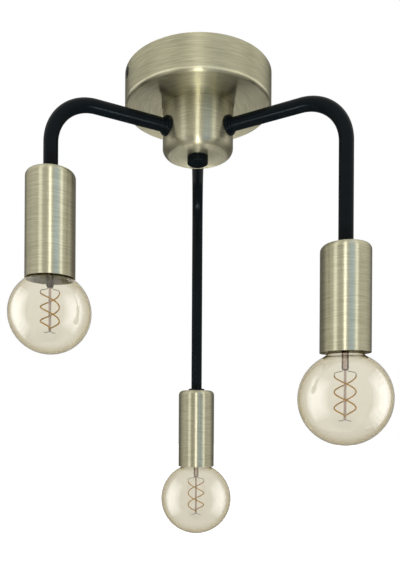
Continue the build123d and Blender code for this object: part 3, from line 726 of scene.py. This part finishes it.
# ---- lampholders
HOLDER_PARTS = (  # node, piece, slot
    ("cap", "dome", "black_plastic"),
    ("body", "skirt", "black_plastic"),
    ("insert", "disc", "ceramic"),
    ("contact", "tongue", "brass_contact"),
)
SHELL_LOW, SHELL_HIGH = 5.0 * MM, 27.0 * MM  # above the bulb cap's rim
SHELL_R = 12.6 * MM
SHEET = 0.4 * MM
CAP_CUT = 0.45 * MM  # longest run of an outline that takes the E27 thread


def threaded(name, corners, slot, longest, pitch, depth, low, high, inner=0.0):
    """Turned piece with a screw thread from low to high, outside an inner radius."""
    material = finish(slot)
    piece = new_object(name, turned(divided(rounded(corners), longest), segments=64), material)
    values = {
        "Pitch": pitch,
        "Depth": depth,
        "Low": low,
        "High": high,
        "Run-out": pitch,
        "Inner Radius": inner,
        "Finish": material,
    }
    return shade(settle(modify(piece, shape_tree("screw_thread"), values)), THREAD_SHARP_ANGLE)


class Lampholders(bpy.types.Operator):
    """Black lampholders with ceramic inserts and threaded screw shells"""

    bl_idname = "ceiling_light.lampholders"
    bl_label = "Lampholders"

    def execute(self, context):
        sizes = context.scene.ceiling_light_threads
        thread = (CAP_CUT, sizes.cap_pitch, sizes.cap_depth)
        lead = 1.5 * MM
        for name, lamp in LAMPS.items():
            for part, piece, slot in HOLDER_PARTS:
                dressed(f"{name}_holder_{part}", f"{name}_holder_{piece}", finish(slot))
            corners = [
                (SHELL_R + sizes.cap_depth, SHELL_LOW),
                (SHELL_R + sizes.cap_depth + SHEET, SHELL_LOW),
                (SHELL_R + SHEET, SHELL_LOW + lead),
                (SHELL_R + SHEET, SHELL_HIGH, 2 * SHEET),
                (SHELL_R - 3 * SHEET, SHELL_HIGH),
                (SHELL_R - 3 * SHEET, SHELL_HIGH - SHEET),
                (SHELL_R, SHELL_HIGH - SHEET, SHEET),
                (SHELL_R, SHELL_LOW + lead),
            ]
            ends = (SHELL_LOW + lead, SHELL_HIGH - lead)
            shell = threaded(f"{name}_screw_shell", corners, "brass_contact", *thread, *ends)
            hold(moved(shell, at_lamp(lamp, lamp.cap_rim)), f"{name}_holder_shell")
        return {"FINISHED"}


# ---- bulbs
BULB_TURN = {"left": math.radians(14), "right": math.radians(-14), "rear": 0.0}
NECK_BEND = 6.0 * MM
STEM_R = 3.4 * MM
ROD_R = 1.3 * MM
STEM_END = 0.61  # this and the next five are shares of the globe's radius, the heights from its centre
ROD_END = -0.44
PRESS_HEIGHT = 0.20
FILAMENT_SPIRAL = 0.225
FILAMENT_TOP = 0.49
FILAMENT_FALL = 0.8625
FILAMENT_TURNS = 1.25


def in_globe(lamp):
    """From the globe's centre, turned so that the filament shows its loops to the front."""
    return at_lamp(lamp, lamp.globe_z) @ Matrix.Rotation(BULB_TURN[lamp.name], 4, "Z")


def arc(centre, radius, start, end, steps):
    """Points of an arc in the plane of radius and height. Angles are radians."""
    turns = [start + (end - start) * step / steps for step in range(steps + 1)]
    return [(centre[0] + radius * math.cos(turn), centre[1] + radius * math.sin(turn)) for turn in turns]


def glass_side(lamp, inset):
    """One side of the blown glass, from its throat down to the globe's lowest point."""
    look = bpy.context.scene.ceiling_light_bulb
    rim = lamp.cap_rim - lamp.globe_z
    curve_x = look.neck_radius + look.neck_curve
    curve_z = math.sqrt((lamp.globe_r + look.neck_curve) ** 2 - curve_x**2)
    curve_turn = math.atan2(curve_z, curve_x)
    throat = look.throat_radius - inset
    hollow = arc((curve_x, curve_z), look.neck_curve + inset, math.pi, math.pi + curve_turn, 12)
    globe = arc((0.0, 0.0), lamp.globe_r - inset, curve_turn, -math.pi / 2, 72)
    return [
        (throat, rim + 2.0 * MM),
        (throat, rim - 3.0 * MM, NECK_BEND),
        (look.neck_radius - inset, rim - 10.0 * MM, NECK_BEND),
        *hollow,
        *globe[1:-1],
        (0.0, inset - lamp.globe_r),
    ]


def stem_outline(lamp):
    """Flare in the throat, tube, then the thin rod through the filament."""
    look = bpy.context.scene.ceiling_light_bulb
    rim = lamp.cap_rim - lamp.globe_z
    flare = look.throat_radius - look.wall
    return [
        (0.0, ROD_END * lamp.globe_r),
        (ROD_R, ROD_END * lamp.globe_r, 0.9 * ROD_R),
        (ROD_R, STEM_END * lamp.globe_r + 0.6 * MM, 0.9 * MM),
        (STEM_R, STEM_END * lamp.globe_r, 1.4 * MM),
        (STEM_R, rim - 12.0 * MM, 8.0 * MM),
        (flare, rim + 0.5 * MM, 1.0 * MM),
        (flare, rim + 2.0 * MM),
        (0.0, rim + 2.0 * MM),
    ]


class Globes(bpy.types.Operator):
    """Blown globes of tinted glass and the clear stems inside them"""

    bl_idname = "ceiling_light.globes"
    bl_label = "Globes and Stems"

    def execute(self, context):
        wall = context.scene.ceiling_light_bulb.wall
        for name, lamp in LAMPS.items():
            outer, inner = glass_side(lamp, 0.0), glass_side(lamp, wall)
            body = turned(rounded([*outer, *reversed(inner)]), segments=128)
            glass = new_object(f"{name}_globe", body, finish("tinted_glass"))
            hold(moved(glass, in_globe(lamp)), f"{name}_bulb_glass")

            body = turned(divided(rounded(stem_outline(lamp)), 2.5 * MM), segments=48)
            self.press(body, lamp)
            stem = new_object(f"{name}_stem", body, finish("clear_glass"))
            hold(moved(stem, in_globe(lamp)), f"{name}_bulb_stem")
        return {"FINISHED"}

    def press(self, body, lamp):
        """Flattens the stem's end where the wires are sealed in."""
        low, high = STEM_END * lamp.globe_r, (STEM_END + PRESS_HEIGHT) * lamp.globe_r
        for vertex in body.verts:
            if vertex.co.z > low - 1.0 * MM:
                share = min(1.0, max(0.0, (high - vertex.co.z) / (high - low)))
                squeeze = share * share * (3 - 2 * share)
                vertex.co.y *= 1 - 0.45 * squeeze


def wires(name, paths, radius, material):
    """Round wires along smooth curves near their points, as one mesh."""
    data = bpy.data.curves.new(name, "CURVE")
    data.dimensions = "3D"
    data.bevel_depth = radius
    data.bevel_resolution = 2
    data.resolution_u = 8
    data.use_fill_caps = True
    for path in paths:
        spline = data.splines.new("NURBS")
        spline.points.add(len(path) - 1)
        for point, place in zip(spline.points, path):
            point.co = (*place, 1.0)
        spline.order_u = 3
        spline.use_endpoint_u = True
    curve = bpy.data.objects.new(name, data)
    bpy.context.scene.collection.objects.link(curve)
    bpy.context.view_layer.update()
    body = bmesh.new()
    mesh = bpy.data.meshes.new_from_object(curve.evaluated_get(bpy.context.evaluated_depsgraph_get()))
    body.from_mesh(mesh)
    bpy.data.objects.remove(curve)
    bpy.data.meshes.remove(mesh)
    bmesh.ops.recalc_face_normals(body, faces=body.faces)
    return new_object(name, body, material)


class Filaments(bpy.types.Operator):
    """Twin filaments wound round the stem, with the wires that carry them"""

    bl_idname = "ceiling_light.filaments"
    bl_label = "Filaments"

    def execute(self, context):
        look = context.scene.ceiling_light_bulb
        for name, lamp in LAMPS.items():
            globe_r = lamp.globe_r
            strands = new_object(f"{name}_strands", bmesh.new(), finish("filament"))
            values = {
                "Spiral Radius": FILAMENT_SPIRAL * globe_r,
                "End Radius": ROD_R + look.wire_radius + 0.8 * MM,
                "Top": FILAMENT_TOP * globe_r,
                "Fall": FILAMENT_FALL * globe_r,
                "Turns": FILAMENT_TURNS,
                "Wire Radius": look.wire_radius,
                "Finish": finish("filament"),
            }
            settle(modify(strands, shape_tree("filament"), values))
            strands.data.shade_smooth()
            hold(moved(strands, in_globe(lamp)), f"{name}_bulb_filament")

            paths = self.carrier_paths(lamp, look)
            carriers = wires(f"{name}_carriers", paths, look.lead_radius, finish("dark_wire"))
            hold(moved(carriers, in_globe(lamp)), f"{name}_bulb_wires")
        return {"FINISHED"}

    def carrier_paths(self, lamp, look):
        """Two lead-in wires through the stem that bow out to the strands, and the bow of wire at the rod's end."""
        globe_r = lamp.globe_r
        spiral, top, stem = FILAMENT_SPIRAL * globe_r, FILAMENT_TOP * globe_r, STEM_END * globe_r
        cap = lamp.cap_rim - lamp.globe_z
        hook = ROD_END * globe_r - look.lead_radius
        paths = []
        for side in (-1, 1):
            lead_in = [
                (1.6 * MM, 0.0, cap - 2.0 * MM),
                (1.6 * MM, 0.0, stem + 5.0 * MM),
                (2.2 * MM, 0.0, stem + 1.0 * MM),
                (2.4 * MM, 0.0, stem - 1.2 * MM),
                (0.8 * spiral, 0.0, stem - 1.8 * MM),
                (1.05 * spiral, 0.0, top + 1.6 * MM),
                (spiral, 0.0, top - 0.2 * MM),
            ]
            bow = [
                (0.0, 0.0, hook),
                (0.05 * globe_r, side * 0.3 * MM, hook - 0.2 * MM),
                (0.09 * globe_r, side * 0.6 * MM, hook - 1.6 * MM),
                (0.13 * globe_r, 0.0, hook - 0.9 * MM),
            ]
            paths += [[(side * x, y, z) for x, y, z in path] for path in (lead_in, bow)]
        return paths


CAP_OUTLINE = (  # millimetres: radius, height above the cap's rim, rounding
    (13.5, 0.0),
    (13.9, 0.0),
    (13.9, 3.2, 0.5),
    (12.25, 4.4, 0.5),
    (12.25, 20.5, 1.0),
    (11.5, 22.0),
    (11.0, 22.0),
    (11.0, 21.7),
    (11.85, 20.2, 0.6),
    (11.85, 4.7, 0.5),
    (13.5, 3.5, 0.5),
)
CAP_THREAD = (4.6 * MM, 20.0 * MM)


class BulbCaps(bpy.types.Operator):
    """Threaded nickel caps with black insulators and soldered contacts"""

    bl_idname = "ceiling_light.bulb_caps"
    bl_label = "Bulb Caps"

    def execute(self, context):
        sizes = context.scene.ceiling_light_threads
        corners = [scaled(corner, MM) for corner in CAP_OUTLINE]
        thread = (CAP_CUT, sizes.cap_pitch, sizes.cap_depth, *CAP_THREAD)
        for name, lamp in LAMPS.items():
            cap = threaded(f"{name}_screw_cap", corners, "nickel", *thread)
            hold(moved(cap, at_lamp(lamp, lamp.cap_rim)), f"{name}_bulb_cap")
            dressed(f"{name}_bulb_insulator", f"{name}_insulator", finish("black_glass"))
            dressed(f"{name}_bulb_contact", f"{name}_contact", finish("solder"))
        return {"FINISHED"}


# ---- inside the canopy and hub
STRAP_TURN = math.radians(20)
POLE_SPACING = 9.0 * MM
BLOCK_ALONG = -3.4 * MM
BLOCK_ACROSS = -4.0 * MM
SCREW_ACROSS = 4.5 * MM
SCREW_SEAT = -13.0 * MM
SCREW_HEAD_R = 1.9 * MM
SCREW_HEAD = 1.6 * MM
SLOT_SIZE = (6.0 * MM, 0.5 * MM, 1.6 * MM)
SLOT_TURN = math.radians(35)
HUB_NIPPLE_START = 27.0 * MM
LAMP_NIPPLE_TOP = 10.0 * MM
ARM_AXIS_Z = -61.0 * MM
NIPPLE_R = 5.0 * MM
NIPPLE_BORE_R = 3.7 * MM
NIPPLE_LENGTH = 38.0 * MM


class Wiring(bpy.types.Operator):
    """Lamp leads, earth lead, terminal block with its screws, and the bush"""

    bl_idname = "ceiling_light.wiring"
    bl_label = "Wiring"

    def execute(self, context):
        for name in LAMPS:
            dressed(f"{name}_lead", f"{name}_cable", finish("cable"))
        dressed("earth_lead", "earth_wire", finish("earth_cable"))
        dressed("terminal_block", "terminal_strip", finish("white_plastic"))
        dressed("cable_bush", "wire_bush", finish("black_plastic"))
        self.set_screws()
        return {"FINISHED"}

    def set_screws(self):
        """One slotted screw in each well of the terminal block."""
        material = finish("brass_contact")
        head = [(0.0, 0.0), (0.0, -SCREW_HEAD), (SCREW_HEAD_R, -SCREW_HEAD, 0.3 * MM), (SCREW_HEAD_R, 0.0)]
        screw = new_object("slotted_screw", turned(rounded(head), segments=24), material)
        cutter = bmesh.new()
        bmesh.ops.create_cube(cutter, size=1.0)
        bmesh.ops.scale(cutter, vec=SLOT_SIZE, verts=cutter.verts)
        bmesh.ops.translate(cutter, vec=(0, 0, -SCREW_HEAD), verts=cutter.verts)
        blade = new_object("slot_cutter", cutter, material)
        screw.modifiers.new("slot", "BOOLEAN").object = blade
        settle(screw)
        bpy.data.objects.remove(blade)

        places = bmesh.new()
        for pole in range(4):
            for side in (-1, 1):
                along = BLOCK_ALONG + (pole - 1.5) * POLE_SPACING
                spot = Vector((along, BLOCK_ACROSS + side * SCREW_ACROSS, SCREW_SEAT))
                places.verts.new(Matrix.Rotation(STRAP_TURN, 3, "Z") @ spot)
        screws = new_object("terminal_screws", places, material)
        values = {"Piece": screw, "Turn": STRAP_TURN + SLOT_TURN, "Finish": material}
        shade(settle(modify(screws, shape_tree("set_out"), values)))
        bpy.data.objects.remove(screw)
        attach(screws, FIXTURE)


class Fixings(bpy.types.Operator):
    """Bracket, tie rod, threaded nipples, nuts and earth stud"""

    bl_idname = "ceiling_light.fixings"
    bl_label = "Hidden Fixings"

    def execute(self, context):
        for node in ("ceiling_bracket", "tie_rod_nuts", "nipple_nuts", "earth_stud"):
            dressed(node, f"{node}_plated", finish("zinc_steel"))
        sizes = context.scene.ceiling_light_threads
        self.rod(sizes)
        self.nipples(sizes)
        return {"FINISHED"}

    def rod(self, sizes):
        """Rod threaded over its whole length."""
        low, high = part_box("tie_rod")
        radius = (high.x - low.x) / 2 - sizes.rod_depth
        corners = [(0.0, low.z), (radius, low.z), (radius, high.z), (0.0, high.z)]
        thread = (sizes.rod_pitch / 6, sizes.rod_pitch, sizes.rod_depth, low.z, high.z)
        hold(threaded("threaded_rod", corners, "zinc_steel", *thread, inner=radius / 2), "tie_rod")

    def nipples(self, sizes):
        """Six threaded tubes, two for each arm."""
        radius = NIPPLE_R - sizes.nipple_depth
        corners = [(NIPPLE_BORE_R, 0.0), (radius, 0.0), (radius, NIPPLE_LENGTH), (NIPPLE_BORE_R, NIPPLE_LENGTH)]
        thread = (sizes.nipple_pitch / 5, sizes.nipple_pitch, sizes.nipple_depth, 0.0, NIPPLE_LENGTH)
        middle = (radius + NIPPLE_BORE_R) / 2
        tube = threaded("threaded_nipples", corners, "zinc_steel", *thread, inner=middle)
        places = []
        for lamp in LAMPS.values():
            turn = Matrix.Rotation(math.atan2(lamp.y, lamp.x), 4, "Z")
            start = Matrix.Translation((HUB_NIPPLE_START, 0.0, ARM_AXIS_Z)) @ Matrix.Rotation(math.pi / 2, 4, "Y")
            places += [turn @ start, at_lamp(lamp, lamp.sleeve_top + LAMP_NIPPLE_TOP - NIPPLE_LENGTH)]
        hold(moved(tube, *places), "nipples")


# ---- studio
WHITE = (1.0, 1.0, 1.0)
WARM = (1.0, 0.99, 0.97)
COOL = (0.9, 0.94, 1.0)
STRIPS = (  # round a cup's axis: degrees to the right of the camera, half width in degrees, luminance, colour
    (-76.0, 16.0, 0.10, WHITE),
    (-45.5, 7.0, 0.86, COOL),
    (-1.5, 4.0, 2.3, (0.94, 0.95, 1.0)),
    (28.0, 13.0, 0.35, (0.05, 0.4, 1.0)),
    (50.0, 5.0, 1.2, COOL),
    (84.0, 20.0, 0.10, WHITE),
)
HUB_SHARE, CANOPY_SHARE = 0.65, 0.22  # of the strips' luminance
LOW_STRIPS = ((0.0, 2.5, 6.8), (30.0, 3.0, 0.3), (-30.0, 3.0, 0.3))  # degrees from Y, half width, luminance
LOW_STRIP_DROP = 1.0  # below the middle of the strips
LOW_STRIP_LENGTH = 8.0
BAR_PLACE, BAR_AIM, BAR_SIZE = (0.0, -0.75, -1.0), (0.0, -0.05, -0.1), (2.4, 0.12)
WINDOW_TURN = math.radians(84)
WINDOW_SIZE = (1.0, 1.5)
WINDOW_DISTANCE, WINDOW_STEP = 1.0, 0.1
WINDOW_LAYERS = (0.5, 0.8, 1.1, 1.4)  # shares of a window's size, one behind the other, for its soft edges
PANEL_TURNS = (-100, -50, 0, 50, 100)
PANEL_SIZE = (0.75, 0.8)
PANEL_DISTANCE, PANEL_HEIGHT = 0.8, 0.5
FLOOR_GLOW = (0.3, 0.72)  # through glass and straight to the camera


def facing(place, aim):
    """Matrix of a light that stands at a place and shines at its aim."""
    away = (Vector(place) - Vector(aim)).normalized()
    return Matrix.Translation(place) @ away.to_track_quat("Z", "Y").to_matrix().to_4x4()


def ahead(turn, distance):
    """Level way of a distance from an axis, turned to the right of -Y, where the camera is."""
    return Vector((math.sin(turn), -math.cos(turn), 0.0)) * distance


class Studio(bpy.types.Operator):
    """Pale floor, soft light all round and the camera"""

    bl_idname = "ceiling_light.studio"
    bl_label = "Studio"

    def execute(self, context):
        scene = context.scene
        look = scene.ceiling_light_studio
        scene.view_settings.view_transform = "Standard"
        self.floor(look)
        self.world(scene, look)
        self.lights(look)
        self.camera(scene, look)
        return {"FINISHED"}

    def floor(self, look):
        """Matt floor that shows white to the camera, pale through glass and not at all in reflections."""
        body = bmesh.new()
        bmesh.ops.create_grid(body, x_segments=1, y_segments=1, size=look.floor_size / 2)
        low = min(lamp.globe_z - lamp.globe_r for lamp in LAMPS.values())
        bmesh.ops.translate(body, vec=(0, 0, low - look.floor_drop), verts=body.verts)
        surface = Surface("pale_floor")
        tone = look.floor_tone
        matt = surface.add("ShaderNodeBsdfDiffuse", {}, {"Color": (tone, tone, tone, 1)})
        path = surface.add("ShaderNodeLightPath", output="Is Camera Ray")
        seen = surface.maths("MAXIMUM", path, path.other("Is Transmission Ray"))
        levels = [(level, level, level, 1) for level in FLOOR_GLOW]
        glow = surface.add("ShaderNodeEmission", {}, {"Color": surface.mix(path, *levels)})
        lifted = surface.add("ShaderNodeAddShader", {}, {0: matt, 1: glow})
        shader = surface.add("ShaderNodeMixShader", {}, {0: seen, 1: matt, 2: lifted})
        surface.add("ShaderNodeOutputMaterial", {}, {"Surface": shader})
        floor = new_object("floor", body, surface.material)
        floor.visible_glossy = False

    def world(self, scene, look):
        """White to the camera and through glass, and otherwise an even soft light that dims behind the object."""
        world = bpy.data.worlds.new("studio")
        world.use_nodes = True
        scene.world = world
        nodes = Nodes(world.node_tree)
        x, y, z = nodes.parts(nodes.add("ShaderNodeTexCoord", output="Generated"))
        height = nodes.ease(z, -0.30, 0.05, low_gives=0.5) + nodes.ease(z, 0.15, 0.6, high_gives=0.45)
        level = look.ambient * height * nodes.ease(y, 0.2, 0.7, low_gives=1.0, high_gives=0.35)
        lit = nodes.add("ShaderNodeBackground", {}, {"Color": opaque(WARM), "Strength": level})
        white = nodes.add("ShaderNodeBackground", {}, {"Color": (1, 1, 1, 1), "Strength": 1.0})
        path = nodes.add("ShaderNodeLightPath", output="Is Camera Ray")
        seen = nodes.maths("MAXIMUM", path, path.other("Is Transmission Ray"))
        both = nodes.add("ShaderNodeMixShader", {}, {0: seen, 1: lit, 2: white})
        nodes.add("ShaderNodeOutputWorld", {}, {"Surface": both})

    def softbox(self, name, matrix, size, luminance, colour, pieces):
        """Rectangular soft light that lights only some pieces. Its watts are four times luminance times area."""
        data = bpy.data.lights.new(name, "AREA")
        data.shape = "RECTANGLE"
        data.size, data.size_y = size
        data.color = colour
        data.energy = luminance * 4 * size[0] * size[1]
        light = bpy.data.objects.new(name, data)
        light.matrix_world = matrix
        light.visible_camera = False
        light.visible_transmission = False
        bpy.context.scene.collection.objects.link(light)
        lit = bpy.data.collections.new(f"lit_by_{name}")
        for piece in pieces:
            lit.objects.link(bpy.data.objects[piece])
        light.light_linking.receiver_collection = lit

    def strips(self, look, target, axis, piece, share=1.0):
        """Upright strips round a cup's axis, counted from the line to the camera, as its highlights are."""
        to_camera = math.atan2(look.camera[0] - axis[0], axis[1] - look.camera[1])
        aim = Vector((*axis, look.strip_height))
        for index, (turn, half_width, luminance, colour) in enumerate(STRIPS):
            place = aim + ahead(to_camera + math.radians(turn), look.strip_distance)
            size = (2 * look.strip_distance * math.tan(math.radians(half_width)), look.strip_length)
            level = luminance * look.light * share
            self.softbox(f"strip_{target}_{index}", facing(place, aim), size, level, colour, [piece])

    def low_strips(self, look, pieces):
        """Long strips below the object that shine up at its flat undersides."""
        place = Matrix.Translation((0.0, 0.0, look.strip_height - LOW_STRIP_DROP))
        for index, (turn, half_width, luminance) in enumerate(LOW_STRIPS):
            matrix = place @ Matrix.Rotation(math.radians(turn), 4, "Z") @ Matrix.Rotation(math.pi, 4, "X")
            size = (2 * LOW_STRIP_DROP * math.tan(math.radians(half_width)), LOW_STRIP_LENGTH)
            self.softbox(f"low_strip_{index}", matrix, size, luminance * look.light, WARM, pieces)

    def windows(self, look, name, lamp):
        """A window at each side of a bulb, in layers."""
        centre = Vector((lamp.x, lamp.y, lamp.globe_z))
        level = look.window / len(WINDOW_LAYERS)
        for side in (-1, 1):
            for share in WINDOW_LAYERS:
                matrix = facing(centre + ahead(side * WINDOW_TURN, WINDOW_DISTANCE + WINDOW_STEP * share), centre)
                size = scaled(WINDOW_SIZE, share)
                self.softbox(f"window_{name}_{side}_{share}", matrix, size, level, WHITE, [f"{name}_globe"])

    def lights(self, look):
        """Strips for the brass, a low bar for the enamel, windows for the bulbs and high panels for the canopy."""
        for name, lamp in LAMPS.items():
            self.strips(look, name, (lamp.x, lamp.y), f"{name}_sleeve_cup")
        self.strips(look, "hub", (0.0, 0.0), "hub_cup", HUB_SHARE)
        self.strips(look, "canopy", (0.0, 0.0), "canopy_cup", CANOPY_SHARE)
        self.low_strips(look, ["hub_cup", "canopy_cup"])
        black = [piece.name for piece in bpy.data.objects if piece.name.endswith("_black")]
        self.softbox("bar", facing(BAR_PLACE, BAR_AIM), BAR_SIZE, look.bar, (0.8, 0.95, 1.0), black)
        for name, lamp in LAMPS.items():
            self.windows(look, name, lamp)
        for turn in PANEL_TURNS:
            place = ahead(math.radians(turn), PANEL_DISTANCE) + Vector((0.0, 0.0, PANEL_HEIGHT))
            matrix = facing(place, (0.0, 0.0, 0.0))
            self.softbox(f"high_panel_{turn}", matrix, PANEL_SIZE, look.panel, (0.95, 0.97, 1.0), ["canopy_cup"])

    def camera(self, scene, look):
        """Level camera, turned and rolled a little, with the lens shifted up."""
        forward = Vector((-math.sin(look.heading), math.cos(look.heading), 0.0))
        level = Vector((math.cos(look.heading), math.sin(look.heading), 0.0))
        up = level.cross(forward)
        right = level * math.cos(look.roll) + up * math.sin(look.roll)
        up = up * math.cos(look.roll) - level * math.sin(look.roll)
        turn = Matrix((right, up, -forward)).transposed().to_4x4()
        data = bpy.data.cameras.new("camera")
        data.lens = look.focal
        data.shift_x = look.shift_x
        data.shift_y = look.shift_y
        data.clip_end = 200.0
        camera = bpy.data.objects.new("camera", data)
        camera.matrix_world = Matrix.Translation(look.camera) @ turn
        scene.collection.objects.link(camera)
        scene.camera = camera


# ---- add-on
class CeilingLightPanel(bpy.types.Panel):
    """Lists the light's steps and settings"""

    bl_idname = "VIEW3D_PT_ceiling_light"
    bl_label = "Ceiling Light"
    bl_space_type = "VIEW_3D"
    bl_region_type = "UI"
    bl_category = "Ceiling Light"

    def draw(self, context):
        for operator in OPERATORS:
            self.layout.operator(operator.bl_idname)
        for name in SETTINGS:
            group = getattr(context.scene, name)
            box = self.layout.box()
            for label in group.__annotations__:
                box.prop(group, label)


OPERATORS = (
    BrassCups,
    Sleeves,
    Arms,
    Lampholders,
    Globes,
    Filaments,
    BulbCaps,
    Wiring,
    Fixings,
    Studio,
)
SETTINGS = {
    "ceiling_light_brass": BrassLook,
    "ceiling_light_paint": PaintLook,
    "ceiling_light_bulb": BulbLook,
    "ceiling_light_threads": ThreadSizes,
    "ceiling_light_studio": StudioLook,
}


def register():
    for owner in (*SETTINGS.values(), *OPERATORS, CeilingLightPanel):
        bpy.utils.register_class(owner)
    for name, group in SETTINGS.items():
        setattr(bpy.types.Scene, name, bpy.props.PointerProperty(type=group))


def unregister():
    for name in SETTINGS:
        delattr(bpy.types.Scene, name)
    for owner in reversed((*SETTINGS.values(), *OPERATORS, CeilingLightPanel)):
        bpy.utils.unregister_class(owner)


def main():
    """Registers the add-on and runs its steps in order."""
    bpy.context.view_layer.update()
    register()
    for operator in OPERATORS:
        group, step = operator.bl_idname.split(".")
        getattr(getattr(bpy.ops, group), step)()


if __name__ == "__main__":
    main()
